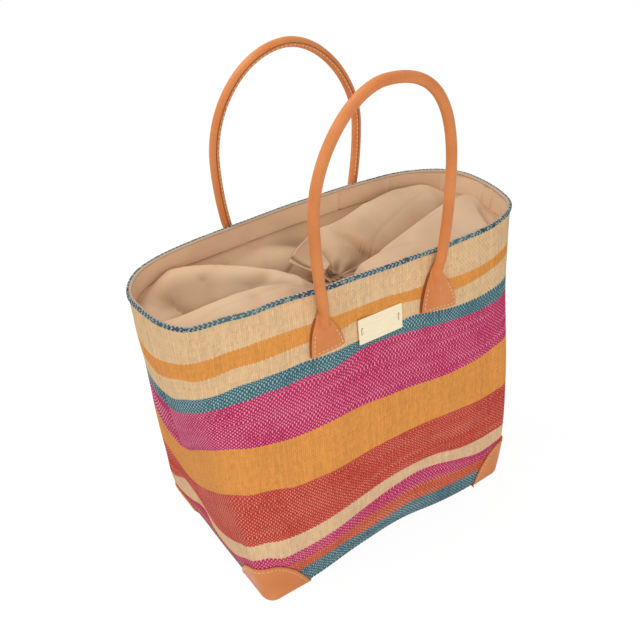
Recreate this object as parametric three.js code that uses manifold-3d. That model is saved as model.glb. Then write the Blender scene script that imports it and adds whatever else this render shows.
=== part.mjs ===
// Striped raffia tote bag with rolled leather handles and a gathered cotton closure.
// Millimetres, +Z up, front towards -Y. The bag stands on the undersides of its four leather
// corner patches at z = 0, and the origin is the middle of its footprint.
import * as THREE from 'three';
import { mergeVertices } from 'three/addons/utils/BufferGeometryUtils.js';
import Module from 'manifold-3d';

const wasm = await Module();
wasm.setup();

// Bag body, measured on the outside of the raffia
const bagHeight = 300;
const rimWidth = 366;
const rimDepth = 146;
const rimCornerRadius = 56;
const rimSquareness = 3.2;
const ovalGrowth = 2;
const baseWidth = 294;
const baseDepth = 190;
const baseCornerRadius = 10;
const endSwell = 3;
const frontSwell = 3;
const rimEndCrown = 5;
const rimFrontCrown = 3;
const baseLift = 7.5;
const baseLiftReach = 115;
const lowerEdgeTuck = 5;
const lowerEdgeTuckHeight = 70;
const endCrease = 11;
const endCreaseY = 34;
const endCreaseWidth = 24;
const endCreaseStart = 9;
const endCreaseMiddle = 30;
const endCreaseHeight = 18;

// Cloth and leather thicknesses
const raffiaThickness = 1.5;
const cottonThickness = 0.8;
const patchThickness = 1.6;
const backingThickness = 1.6;
const tabThickness = 2;
const clearance = 0.3;

// Rim binding and facing
const bindingThickness = 1;
const bindingOuterDrop = 5;
const bindingInnerDrop = 2.5;
const facingDepth = 25;

// Gathered closure
const closureBillow = 17;
const closureBillowSkew = 0.8;
const closureNeckDrop = 42;
const closureNeckX = -3;
const closureNeckY = -5;
const throatRadius = 6;
const ruffleHeight = 22;
const ruffleRadius = 25;
const ruffleTuck = 1.5;
const ruffleWaistHeight = 12.1;
const rufflePleats = 7;
const rufflePleatDepth = 0.2;
const ruffleWaistPleat = 0.6;

// Corner patches, arch-shaped on the walls and under the base
const leftPatchAlongFront = 48;
const rightPatchAlongFront = 40;
const patchAlongEnd = 50;
const patchPeak = 36;
const patchArchDrop = 8;
const patchTrimMargin = 12;

// Handles: a leather roll round a cord core, bent into an arch. The back one is sewn wider.
const frontHandleMiddle = -6;
const frontHandleSpacing = 119;
const frontHandleSpread = 135.4;
const frontHandleShoulder = 374;
const frontHandleTop = 472.4;
const frontHandleLeftRound = 0.5;
const frontHandleRightRound = 0.68;
const backHandleMiddle = 11;
const backHandleSpacing = 139;
const backHandleSpread = 156;
const backHandleShoulder = 358;
const backHandleTop = 456;
const backHandleLeftRound = 0.55;
const backHandleRightRound = 0.48;
const rollRadius = 4.7;
const rollWall = 1.6;
const rollGap = 2.4;
const seamWidth = 0.8;
const hingeDrop = 17;
const foldOutDegrees = 135;

// Handle tabs
const tabWidth = 38;
const tabDrop = 59;
const tabNeckWidth = 12.5;
const tabStraight = 15;
const tabShoulderRun = 14;
const tabNeckRun = 8.4;
const tabNeckFlare = 1;
const backingMargin = 1.5;
const throatTailLength = 26;
const throatTailRadius = 3;
const throatTailWidening = 1.6;
const throatTailSettling = 0.8;

// Metal plate on the front
const plateWidth = 46.5;
const plateHeight = 24.5;
const plateThickness = 1.2;
const plateCornerRadius = 1;
const plateX = -8;
const plateDrop = 47.5;
const plateSlotWidth = 1.8;
const plateSlotHeight = 7;
const plateSlotInset = 3.6;
const prongClearance = 0.4;
const prongProud = 0.4;

// Facets
const frontSteps = 8;
const endHalfSteps = 3;
const endSteps = 2 * endHalfSteps;
const cornerSteps = 4;
const levelShares = [0.03, 0.1, 0.2, 0.32, 0.5, 0.72, 0.905];
const leastLevelGap = 3;
const closureRowShares = [0, 0.14, 0.34, 0.56, 0.76, 0.9, 1];
const pleatFacets = 4;
const patchSides = 20;
const patchRings = 12;
const handleSteps = 25;
const rollSides = 12;
const rollEndRings = 8;
const boreSides = 10;
const coreSides = 7;
const hingeSides = 12;
const hingeArmSteps = 6;
const tailRings = 6;
const tailSides = 12;
const tabCurveSteps = 7;

// Materials
const raffiaMaterial = { color: 0xd9a45f, roughness: 0.85, metalness: 0 };
const bindingMaterial = { color: 0x5d8390, roughness: 0.85, metalness: 0 };
const cottonMaterial = { color: 0xd9b78e, roughness: 0.9, metalness: 0 };
const leatherMaterial = { color: 0xd08050, roughness: 0.55, metalness: 0 };
const coreMaterial = { color: 0xe6dcc8, roughness: 0.95, metalness: 0 };
const plateMaterial = { color: 0xefe2c0, roughness: 0.3, metalness: 1 };

const bag = new THREE.Group();

function addPiece(name, geometry, finish) {
  const piece = new THREE.Mesh(geometry, new THREE.MeshStandardMaterial(finish));
  piece.name = name;
  bag.add(piece);
  return piece;
}

// Solids from triangles, and back again
function toSolid(geometry) {
  const bare = geometry.clone();
  bare.deleteAttribute('normal');
  bare.deleteAttribute('uv');
  const merged = mergeVertices(bare, 1e-4);
  const mesh = new wasm.Mesh({
    numProp: 3,
    vertProperties: new Float32Array(merged.attributes.position.array),
    triVerts: new Uint32Array(merged.index.array),
  });
  return new wasm.Manifold(mesh);
}

function toGeometry(solid) {
  const mesh = solid.getMesh();
  const geometry = new THREE.BufferGeometry();
  geometry.setAttribute('position', new THREE.BufferAttribute(mesh.vertProperties, 3));
  geometry.setIndex(new THREE.BufferAttribute(mesh.triVerts, 1));
  return geometry;
}

function signedVolume(points, faces) {
  const a = new THREE.Vector3();
  let total = 0;
  for (const [i, j, k] of faces) {
    a.crossVectors(points[i], points[j]);
    total += a.dot(points[k]) / 6;
  }
  return total;
}

function facesOut(points, faces) {
  const inward = signedVolume(points, faces) < 0;
  const geometry = new THREE.BufferGeometry().setFromPoints(points);
  geometry.setIndex(faces.flatMap(([i, j, k]) => (inward ? [i, k, j] : [i, j, k])));
  return geometry;
}

// A sheet with thickness: two grids of points, joined round their free edges
function sheet(rows, columns, isRing, outerPoint, innerPoint) {
  const points = [];
  for (const place of [outerPoint, innerPoint]) {
    for (let row = 0; row < rows; row += 1) {
      for (let column = 0; column < columns; column += 1) {
        points.push(place(row, column));
      }
    }
  }
  const layer = rows * columns;
  const at = (side, row, column) => side * layer + row * columns + (column % columns);
  const faces = [];
  const quad = (a, b, c, d) => faces.push([a, b, c], [a, c, d]);
  const lastColumn = isRing ? columns : columns - 1;
  for (let row = 0; row < rows - 1; row += 1) {
    for (let column = 0; column < lastColumn; column += 1) {
      quad(at(0, row, column), at(0, row, column + 1), at(0, row + 1, column + 1), at(0, row + 1, column));
      quad(at(1, row, column), at(1, row + 1, column), at(1, row + 1, column + 1), at(1, row, column + 1));
    }
  }
  for (let column = 0; column < lastColumn; column += 1) {
    const top = rows - 1;
    quad(at(1, 0, column), at(1, 0, column + 1), at(0, 0, column + 1), at(0, 0, column));
    quad(at(0, top, column), at(0, top, column + 1), at(1, top, column + 1), at(1, top, column));
  }
  if (!isRing) {
    const end = columns - 1;
    for (let row = 0; row < rows - 1; row += 1) {
      quad(at(0, row, 0), at(0, row + 1, 0), at(1, row + 1, 0), at(1, row, 0));
      quad(at(1, row, end), at(1, row + 1, end), at(0, row + 1, end), at(0, row, end));
    }
  }
  return facesOut(points, faces);
}

const mix = THREE.MathUtils.lerp;

// The section of the bag at a share of its height, grown outwards by offset
function sectionAt(share, offset) {
  const swell = 4 * share * (1 - share);
  const ovalShare = share ** ovalGrowth;
  return {
    halfWidth: mix(baseWidth, rimWidth, share) / 2 + endSwell * swell + offset,
    halfDepth: mix(baseDepth, rimDepth, share) / 2 + frontSwell * swell + offset,
    radius: mix(baseCornerRadius, rimCornerRadius, ovalShare) + offset,
    endCrown: rimEndCrown * share,
    frontCrown: rimFrontCrown * share,
    ovalShare,
  };
}

// The base is a rounded rectangle and the rim a soft oval, and the wall passes from one to the other
function easeToOval(point, section) {
  const acrossX = Math.abs(point.x) / (section.halfWidth + section.endCrown);
  const acrossY = Math.abs(point.y) / (section.halfDepth + section.frontCrown);
  const reach = (acrossX ** rimSquareness + acrossY ** rimSquareness) ** (1 / rimSquareness);
  return point.multiplyScalar(mix(1, 1 / reach, section.ovalShare));
}

// The lower edge arches off the ground between the corner patches, from 0 at the patches to 1
function archAt(x) {
  const reach = Math.min(1, Math.abs(x) / baseLiftReach);
  return 0.5 + 0.5 * Math.cos(Math.PI * reach);
}

function fadeBelow(z, height) {
  return Math.max(0, 1 - z / height) ** 2;
}

// How far the soft walls are pressed in: the tuck of the long sides and the crease of the ends
function pressWall(point, z, section) {
  const tuck = lowerEdgeTuck * fadeBelow(z, lowerEdgeTuckHeight) * archAt(point.x);
  point.y -= Math.sign(point.y) * tuck * (Math.abs(point.y) / section.halfDepth) ** 4;
  const creaseRise = THREE.MathUtils.clamp((z - endCreaseStart) / (endCreaseMiddle - endCreaseStart), 0, 1);
  const creaseFall = Math.exp(-((Math.max(0, z - endCreaseMiddle) / endCreaseHeight) ** 2));
  const acrossEnd = Math.exp(-(((point.y - endCreaseY) / endCreaseWidth) ** 2));
  const creaseDepth = endCrease * creaseRise * creaseFall * acrossEnd;
  point.x -= Math.sign(point.x) * creaseDepth * (Math.abs(point.x) / section.halfWidth) ** 6;
  return point;
}

// Stations round the section: a full lap starts at the middle of the +X end and turns by way of +Y
function lapStations() {
  const stations = [];
  const sides = ['right', 'back', 'left', 'front'];
  sides.forEach((side, index) => {
    const steps = side === 'right' || side === 'left' ? endSteps : frontSteps;
    for (let step = 0; step < steps; step += 1) {
      stations.push({ side, along: (2 * step) / steps - 1 });
    }
    for (let step = 0; step < cornerSteps; step += 1) {
      stations.push({ side: 'corner', quarter: index, turn: step / cornerSteps });
    }
  });
  return [...stations.slice(endHalfSteps), ...stations.slice(0, endHalfSteps)];
}

const stations = lapStations();
const halfLap = stations.length / 2;

function stationPoint(station, section) {
  const { halfWidth, halfDepth, radius, endCrown, frontCrown } = section;
  const flatX = halfWidth - radius;
  const flatY = halfDepth - radius;
  if (station.side === 'corner') {
    const angle = (station.quarter + station.turn) * (Math.PI / 2);
    const signX = station.quarter === 0 || station.quarter === 3 ? 1 : -1;
    const signY = station.quarter < 2 ? 1 : -1;
    return new THREE.Vector2(
      signX * flatX + radius * Math.cos(angle),
      signY * flatY + radius * Math.sin(angle),
    );
  }
  const crown = (1 - station.along ** 2) ** 2;
  const outX = halfWidth + endCrown * crown;
  const outY = halfDepth + frontCrown * crown;
  if (station.side === 'right') return new THREE.Vector2(outX, station.along * flatY);
  if (station.side === 'left') return new THREE.Vector2(-outX, -station.along * flatY);
  if (station.side === 'back') return new THREE.Vector2(-station.along * flatX, outY);
  return new THREE.Vector2(station.along * flatX, -outY);
}

// A point of the wall at a height, before the lower edge is arched
function outlinePoint(station, height, offset) {
  const section = sectionAt(height / bagHeight, offset);
  const eased = easeToOval(stationPoint(station, section), section);
  const point = pressWall(eased, height, section);
  return new THREE.Vector3(point.x, point.y, height);
}

// A point of a wall whose lower edge, at bottom, follows the arch
function wallPoint(station, height, offset, bottom) {
  const point = outlinePoint(station, height, offset);
  point.z += baseLift * archAt(point.x) * fadeBelow(height - bottom, lowerEdgeTuckHeight);
  return point;
}

// Half of the lap, from one end seam to the other, held back from the seam by half the clearance
function halfStation(half, column) {
  return stations[(half * halfLap + column) % stations.length];
}

function heldFromSeam(point, half) {
  const side = half === 0 ? 1 : -1;
  point.y = side * Math.max(side * point.y, clearance / 2);
  return point;
}

const halves = { back: 0, front: 1 };

// Every layer of the wall is faceted at the same levels, so that the layers nest
function levelsBetween(bottom, top) {
  const levels = levelShares.map((share) => share * bagHeight);
  const isBetween = (level) => level > bottom + leastLevelGap && level < top - leastLevelGap;
  return [bottom, ...levels.filter(isBetween), top];
}

function wallHalf(half, outerOffset, thickness, bottom, top) {
  const levels = levelsBetween(bottom, top);
  const place = (offset) => (row, column) =>
    heldFromSeam(wallPoint(halfStation(half, column), levels[row], offset, bottom), half);
  return sheet(levels.length, halfLap + 1, false, place(outerOffset), place(outerOffset - thickness));
}

// Heights and offsets of the layers, from the ground up and from the outside in
const raffiaBottom = patchThickness + clearance;
const raffiaTop = bagHeight - bindingThickness - clearance;
const baseTop = raffiaBottom + raffiaThickness;
const liningBottom = baseTop + clearance;
const facingBottom = bagHeight - facingDepth;
const liningTop = facingBottom - clearance;
const liningOffset = -raffiaThickness - clearance;
const insideLining = liningOffset - cottonThickness - clearance;

// Raffia walls
for (const [name, half] of Object.entries(halves)) {
  const wall = wallHalf(half, 0, raffiaThickness, raffiaBottom, raffiaTop);
  addPiece(`raffia_${name}_panel`, wall, raffiaMaterial);
}

// A flat-lying panel inside the walls, arched with the lower edge
function floorPanel(offset, bottom, thickness) {
  const section = sectionAt(bottom / bagHeight, offset);
  const back = stations.slice(endHalfSteps, halfLap - endHalfSteps + 1);
  const columns = back.map((station) => easeToOval(stationPoint(station, section), section));
  const place = (rise) => (row, column) => {
    const edge = columns[column];
    const flat = new THREE.Vector2(edge.x, edge.y * (row / endHalfSteps - 1));
    const pressed = pressWall(flat, bottom, section);
    return new THREE.Vector3(pressed.x, pressed.y, bottom + rise + baseLift * archAt(pressed.x));
  };
  return sheet(endSteps + 1, columns.length, false, place(thickness), place(0));
}

addPiece('raffia_base_panel', floorPanel(liningOffset, raffiaBottom, raffiaThickness), raffiaMaterial);

// Cotton lining and facing
for (const [name, half] of Object.entries(halves)) {
  const wall = wallHalf(half, liningOffset, cottonThickness, liningBottom, liningTop);
  addPiece(`lining_${name}_wall`, wall, cottonMaterial);
}
addPiece('lining_floor', floorPanel(insideLining, liningBottom, cottonThickness), cottonMaterial);

function facingBand() {
  const place = (offset) => (row, column) =>
    outlinePoint(stations[column], row === 0 ? facingBottom : raffiaTop, offset);
  return sheet(2, stations.length, true, place(liningOffset), place(liningOffset - cottonThickness));
}
addPiece('rim_facing', facingBand(), cottonMaterial);

// Rim binding: an upturned channel over the raffia and the facing
function bindingRing() {
  const outside = clearance + bindingThickness;
  const inside = insideLining - bindingThickness;
  const hollow = bagHeight - bindingThickness;
  const outerHem = bagHeight - bindingOuterDrop;
  const innerHem = bagHeight - bindingInnerDrop;
  const topFace = [[outside, outerHem], [outside, bagHeight], [inside, bagHeight], [inside, innerHem]];
  const under = [[clearance, outerHem], [clearance, hollow], [insideLining, hollow], [insideLining, innerHem]];
  const place = (profile) => (row, column) => {
    const [offset, height] = profile[row];
    return outlinePoint(stations[column], height, offset);
  };
  return sheet(topFace.length, stations.length, true, place(topFace), place(under));
}
addPiece('rim_binding', bindingRing(), bindingMaterial);

// Gathered closure: two halves that billow between the facing's lower edge and the neck
const neckHeight = bagHeight - closureNeckDrop;
const neckOutside = throatRadius + cottonThickness;

function closureHalf(half) {
  const place = (drop) => (row, column) => {
    const inward = closureRowShares[row];
    const lapShare = (half * halfLap + column) / stations.length;
    const angle = lapShare * 2 * Math.PI;
    const reach = neckOutside + clearance;
    const neck = new THREE.Vector3(
      closureNeckX + reach * Math.cos(angle),
      closureNeckY + reach * Math.sin(angle),
      neckHeight,
    );
    const seam = outlinePoint(halfStation(half, column), facingBottom, insideLining);
    const point = seam.clone().lerp(neck, inward);
    point.z = mix(facingBottom, neckHeight, THREE.MathUtils.smoothstep(inward, 0, 1));
    point.z += closureBillow * Math.sin(Math.PI * inward ** closureBillowSkew) - drop;
    const seamLine = mix(0, closureNeckY, inward);
    point.y -= seamLine;
    heldFromSeam(point, half);
    point.y += seamLine;
    return point;
  };
  return sheet(closureRowShares.length, halfLap + 1, false, place(0), place(cottonThickness));
}
for (const [name, half] of Object.entries(halves)) {
  addPiece(`closure_${name}_half`, closureHalf(half), cottonMaterial);
}

// Casing above the neck: a pleated ruffle round the throat
function ruffle() {
  const columns = rufflePleats * pleatFacets;
  const profile = [
    [neckOutside, -ruffleTuck, 0],
    [neckOutside, ruffleTuck, 0],
    [(neckOutside + ruffleRadius) / 2, ruffleWaistHeight, ruffleWaistPleat],
    [ruffleRadius, ruffleHeight, 1],
  ];
  const place = (inset) => (row, column) => {
    const [radius, height, depthShare] = profile[row];
    const angle = (column / columns) * 2 * Math.PI;
    const pleat = 1 + rufflePleatDepth * depthShare * Math.sin(rufflePleats * angle + Math.PI / 4);
    return new THREE.Vector3(
      closureNeckX + (radius * pleat - inset) * Math.cos(angle),
      closureNeckY + (radius * pleat - inset) * Math.sin(angle),
      neckHeight + height,
    );
  };
  return sheet(profile.length, columns, true, place(0), place(cottonThickness));
}
addPiece('closure_ruffle', ruffle(), cottonMaterial);

// Rings of points joined into a solid with flat ends
function loft(rings) {
  const points = rings.flat();
  const count = rings[0].length;
  const faces = [];
  for (let ring = 0; ring < rings.length - 1; ring += 1) {
    for (let corner = 0; corner < count; corner += 1) {
      const next = (corner + 1) % count;
      const low = ring * count;
      const high = low + count;
      faces.push([low + corner, low + next, high + next], [low + corner, high + next, high + corner]);
    }
  }
  const last = points.length - count;
  for (let corner = 1; corner < count - 1; corner += 1) {
    faces.push([0, corner + 1, corner], [last, last + corner, last + corner + 1]);
  }
  return facesOut(points, faces);
}

// Corner patches: leather that wraps the corner and runs under the base
function bottomCorner(offset, bottom, top) {
  const rings = levelsBetween(bottom, top).map((level) =>
    stations.map((station) => outlinePoint(station, level, offset)));
  return toSolid(loft(rings));
}

const patchTrimTop = patchPeak + patchTrimMargin;
const patchOutside = bottomCorner(clearance + patchThickness, 0, patchTrimTop);
const patchInside = bottomCorner(clearance, patchThickness, patchTrimTop + patchThickness);
const patchShell = patchOutside.subtract(patchInside);

function cornerPatch(signX, signY) {
  const arch = new THREE.SphereGeometry(1, patchSides, patchRings);
  arch.rotateX(Math.PI / 2);
  const alongFront = signX < 0 ? leftPatchAlongFront : rightPatchAlongFront;
  arch.scale(alongFront, patchAlongEnd, patchPeak + patchArchDrop);
  arch.translate((signX * baseWidth) / 2, (signY * baseDepth) / 2, -patchArchDrop);
  return toGeometry(patchShell.intersect(toSolid(arch)));
}
for (const [sideName, signX] of [['left', -1], ['right', 1]]) {
  for (const [faceName, signY] of [['front', -1], ['back', 1]]) {
    addPiece(`corner_patch_${faceName}_${sideName}`, cornerPatch(signX, signY), leatherMaterial);
  }
}

// Distance of the long wall's outer face from the middle plane
function longWallY(x, z) {
  const section = sectionAt(z / bagHeight, 0);
  const along = x / (section.halfWidth - section.radius);
  const flatY = section.halfDepth + section.frontCrown * (1 - along ** 2) ** 2;
  const acrossX = Math.abs(x) / (section.halfWidth + section.endCrown);
  const ovalReach = (1 - acrossX ** rimSquareness) ** (1 / rimSquareness);
  return mix(flatY, (section.halfDepth + section.frontCrown) * ovalReach, section.ovalShare);
}

// Handles. Each leather roll is bent from two leaning legs into an arch.
const hingeHeight = bagHeight - hingeDrop;

function handleMeasures(sideY, middle, spacing, spread, shoulder, top, rounds) {
  const legX = spacing / 2;
  const legWallY = [-legX, legX].map((x) => longWallY(middle + x, hingeHeight));
  const hingeY = Math.max(...legWallY) + rollGap + rollRadius;
  return { sideY, middle, legX, hingeY, wide: spread / 2, shoulder, top: top - rollRadius, rounds };
}

const handles = {
  front: handleMeasures(
    -1,
    frontHandleMiddle,
    frontHandleSpacing,
    frontHandleSpread,
    frontHandleShoulder,
    frontHandleTop,
    [frontHandleLeftRound, frontHandleRightRound],
  ),
  back: handleMeasures(
    1,
    backHandleMiddle,
    backHandleSpacing,
    backHandleSpread,
    backHandleShoulder,
    backHandleTop,
    [backHandleLeftRound, backHandleRightRound],
  ),
};

function handlePath(handle, startHeight) {
  const { sideY, middle, legX, hingeY, wide, shoulder, top } = handle;
  const [leftRound, rightRound] = handle.rounds;
  const lean = (shoulder - startHeight) / 3;
  const at = (x, z) => new THREE.Vector3(middle + x, sideY * hingeY, z);
  const path = new THREE.CurvePath();
  const leanX = legX + ((wide - legX) * 2) / 3;
  path.add(new THREE.CubicBezierCurve3(
    at(-legX, startHeight),
    at(-leanX, startHeight + lean),
    at(-wide, shoulder - lean),
    at(-wide, shoulder),
  ));
  path.add(new THREE.CubicBezierCurve3(
    at(-wide, shoulder),
    at(-wide, mix(shoulder, top, leftRound)),
    at(-wide * leftRound, top),
    at(0, top),
  ));
  path.add(new THREE.CubicBezierCurve3(
    at(0, top),
    at(wide * rightRound, top),
    at(wide, mix(shoulder, top, rightRound)),
    at(wide, shoulder),
  ));
  path.add(new THREE.CubicBezierCurve3(
    at(wide, shoulder),
    at(wide, shoulder - lean),
    at(leanX, startHeight + lean),
    at(legX, startHeight),
  ));
  return path;
}

function ringShape(radius, sides) {
  const points = [];
  for (let side = 0; side < sides; side += 1) {
    const angle = (side / sides) * 2 * Math.PI;
    points.push(new THREE.Vector2(radius * Math.cos(angle), radius * Math.sin(angle)));
  }
  return new THREE.Shape(points);
}

// The bore with the open seam on the bag's side of the roll
function boreShape(sideY) {
  const bore = rollRadius - rollWall;
  const gap = Math.asin(seamWidth / 2 / bore);
  const points = [];
  for (let side = 0; side <= boreSides; side += 1) {
    const angle = mix(gap, 2 * Math.PI - gap, side / boreSides);
    points.push(new THREE.Vector2(sideY * bore * Math.cos(angle), bore * Math.sin(angle)));
  }
  const beyond = sideY * (rollRadius + clearance);
  points.push(new THREE.Vector2(beyond, -seamWidth / 2), new THREE.Vector2(beyond, seamWidth / 2));
  return new THREE.Shape(points);
}

function alongPath(shape, path) {
  return new THREE.ExtrudeGeometry(shape, { steps: handleSteps, extrudePath: path });
}

function handleCover(handle) {
  const { sideY, middle, legX, hingeY } = handle;
  let roll = toSolid(alongPath(ringShape(rollRadius, rollSides), handlePath(handle, hingeHeight)));
  for (const signX of [-1, 1]) {
    const end = new THREE.SphereGeometry(rollRadius, rollSides, rollEndRings);
    end.translate(middle + signX * legX, sideY * hingeY, hingeHeight);
    roll = roll.add(toSolid(end));
  }
  const bore = toSolid(alongPath(boreShape(sideY), handlePath(handle, hingeHeight - clearance)));
  return toGeometry(roll.subtract(bore));
}

function handleCore(handle) {
  const radius = rollRadius - rollWall - clearance;
  return alongPath(ringShape(radius, coreSides), handlePath(handle, hingeHeight));
}

// Moves every point of a geometry and keeps the faces outwards
function reshape(geometry, move) {
  const bare = geometry.clone();
  bare.deleteAttribute('normal');
  bare.deleteAttribute('uv');
  const merged = mergeVertices(bare, 1e-4);
  const points = [];
  for (let index = 0; index < merged.attributes.position.count; index += 1) {
    points.push(move(new THREE.Vector3().fromBufferAttribute(merged.attributes.position, index)));
  }
  const corners = merged.index.array;
  const faces = [];
  for (let index = 0; index < corners.length; index += 3) {
    faces.push([corners[index], corners[index + 1], corners[index + 2]]);
  }
  return facesOut(points, faces);
}

// Bell-shaped outline, grown by a margin: straight sides below, drawn in to the neck above
const tabHeight = tabDrop - hingeDrop;
function bellShape(margin) {
  const wide = tabWidth / 2 + margin;
  const neck = tabNeckWidth / 2 + margin;
  const top = tabHeight;
  const shape = new THREE.Shape();
  shape.moveTo(-wide, -margin);
  shape.lineTo(wide, -margin);
  shape.lineTo(wide, tabStraight);
  const low = tabStraight + tabShoulderRun;
  const high = top - tabNeckRun;
  shape.bezierCurveTo(wide, low, neck + tabNeckFlare, high, neck, top);
  shape.lineTo(-neck, top);
  shape.bezierCurveTo(-neck - tabNeckFlare, high, -wide, low, -wide, tabStraight);
  return shape;
}

// Lays a flat outline on the long wall, its back face at offset from the raffia
function laidOnWall(shape, thickness, offset, middleX, bottom, sideY) {
  const extrusion = { depth: thickness, bevelEnabled: false, curveSegments: tabCurveSteps };
  const flat = new THREE.ExtrudeGeometry(shape, extrusion);
  return reshape(flat, (point) => {
    const x = middleX + point.x;
    const z = bottom + point.y;
    return new THREE.Vector3(x, sideY * (longWallY(x, z) + offset + point.z), z);
  });
}

const backingOffset = clearance;
const tabOffset = backingOffset + backingThickness + clearance;
const tabBottom = bagHeight - tabDrop;

// The end of the roll, opening out from the neck into the flat of the tab
function rollTail(legX, handle) {
  const { sideY, hingeY } = handle;
  const rollOffset = hingeY - longWallY(legX, hingeHeight);
  const rings = [];
  for (let ring = 0; ring < tailRings; ring += 1) {
    const share = ring / (tailRings - 1);
    const radius = mix(rollRadius, throatTailRadius, share);
    const centre = mix(rollOffset, tabOffset, share ** throatTailSettling);
    const widening = mix(1, throatTailWidening, share);
    const z = hingeHeight - throatTailLength * share;
    const points = [];
    for (let side = 0; side < tailSides; side += 1) {
      const angle = (side / tailSides) * 2 * Math.PI;
      const x = legX + widening * radius * Math.cos(angle);
      const offset = Math.max(tabOffset, centre + radius * Math.sin(angle));
      points.push(new THREE.Vector3(x, sideY * (longWallY(x, z) + offset), z));
    }
    rings.push(points);
  }
  return toSolid(loft(rings));
}

// The space of the roll's end and of its leg, which leans, folded out to the limit
function hingeClearance(signX, handle) {
  const { sideY, middle, legX, hingeY } = handle;
  const radius = (rollRadius + clearance) / Math.cos(Math.PI / hingeSides);
  const ball = new THREE.SphereGeometry(radius, hingeSides, hingeSides);
  ball.translate(middle + signX * legX, sideY * hingeY, hingeHeight);
  const stretches = handlePath(handle, hingeHeight).curves;
  const leg = signX < 0 ? stretches[0] : stretches[stretches.length - 1];
  const section = ringShape(radius, hingeSides);
  const arm = new THREE.ExtrudeGeometry(section, { steps: hingeArmSteps, extrudePath: leg });
  arm.translate(0, -sideY * hingeY, -hingeHeight);
  arm.rotateX(-sideY * THREE.MathUtils.degToRad(foldOutDegrees));
  arm.translate(0, sideY * hingeY, hingeHeight);
  return toSolid(ball).add(toSolid(arm));
}

function handleTab(signX, handle) {
  const legX = handle.middle + signX * handle.legX;
  const bell = toSolid(laidOnWall(bellShape(0), tabThickness, tabOffset, legX, tabBottom, handle.sideY));
  const tab = bell.add(rollTail(legX, handle)).subtract(hingeClearance(signX, handle));
  return toGeometry(tab);
}

function tabBacking(signX, handle) {
  const legX = handle.middle + signX * handle.legX;
  const outline = bellShape(backingMargin);
  return laidOnWall(outline, backingThickness, backingOffset, legX, tabBottom, handle.sideY);
}

for (const [faceName, handle] of Object.entries(handles)) {
  addPiece(`handle_cover_${faceName}`, handleCover(handle), leatherMaterial);
  addPiece(`handle_core_${faceName}`, handleCore(handle), coreMaterial);
  for (const [sideName, signX] of [['left', -1], ['right', 1]]) {
    addPiece(`handle_tab_${faceName}_${sideName}`, handleTab(signX, handle), leatherMaterial);
    addPiece(`tab_backing_${faceName}_${sideName}`, tabBacking(signX, handle), leatherMaterial);
  }
}

// Bare metal plate, held by two prongs through its slots
const plateHeightOnWall = bagHeight - plateDrop;
const plateMount = new THREE.Group();
const plateFootY = longWallY(plateX, plateHeightOnWall - plateHeight / 2);
const plateHeadY = longWallY(plateX, plateHeightOnWall + plateHeight / 2);
const plateLean = Math.atan2(plateFootY - plateHeadY, plateHeight);
plateMount.position.set(plateX, -longWallY(plateX, plateHeightOnWall) - clearance, plateHeightOnWall);
plateMount.rotation.x = Math.PI / 2 - plateLean;
bag.add(plateMount);

function roundedRectangle(width, height, radius) {
  const cornerPoints = 4;
  const points = [];
  [[1, 1], [-1, 1], [-1, -1], [1, -1]].forEach(([signX, signY], quarter) => {
    for (let step = 0; step < cornerPoints; step += 1) {
      const angle = (quarter + step / (cornerPoints - 1)) * (Math.PI / 2);
      const x = signX * (width / 2 - radius) + radius * Math.cos(angle);
      const y = signY * (height / 2 - radius) + radius * Math.sin(angle);
      points.push(new THREE.Vector2(x, y));
    }
  });
  return new THREE.Shape(points);
}

const slotX = plateWidth / 2 - plateSlotInset;
function metalPlate() {
  const outline = roundedRectangle(plateWidth, plateHeight, plateCornerRadius);
  let plate = toSolid(new THREE.ExtrudeGeometry(outline, { depth: plateThickness, bevelEnabled: false }));
  for (const signX of [-1, 1]) {
    const slot = new THREE.BoxGeometry(plateSlotWidth, plateSlotHeight, 3 * plateThickness);
    slot.translate(signX * slotX, 0, plateThickness / 2);
    plate = plate.subtract(toSolid(slot));
  }
  return toGeometry(plate);
}

function platePiece(name, geometry) {
  const piece = addPiece(name, geometry, plateMaterial);
  plateMount.add(piece);
}
platePiece('metal_plate', metalPlate());
for (const [sideName, signX] of [['left', -1], ['right', 1]]) {
  const length = plateThickness + prongProud;
  const prong = new THREE.BoxGeometry(
    plateSlotWidth - 2 * prongClearance,
    plateSlotHeight - 2 * prongClearance,
    length,
  );
  prong.translate(signX * slotX, 0, length / 2);
  platePiece(`plate_prong_${sideName}`, prong);
}

export default bag;
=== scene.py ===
import math
import random

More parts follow.
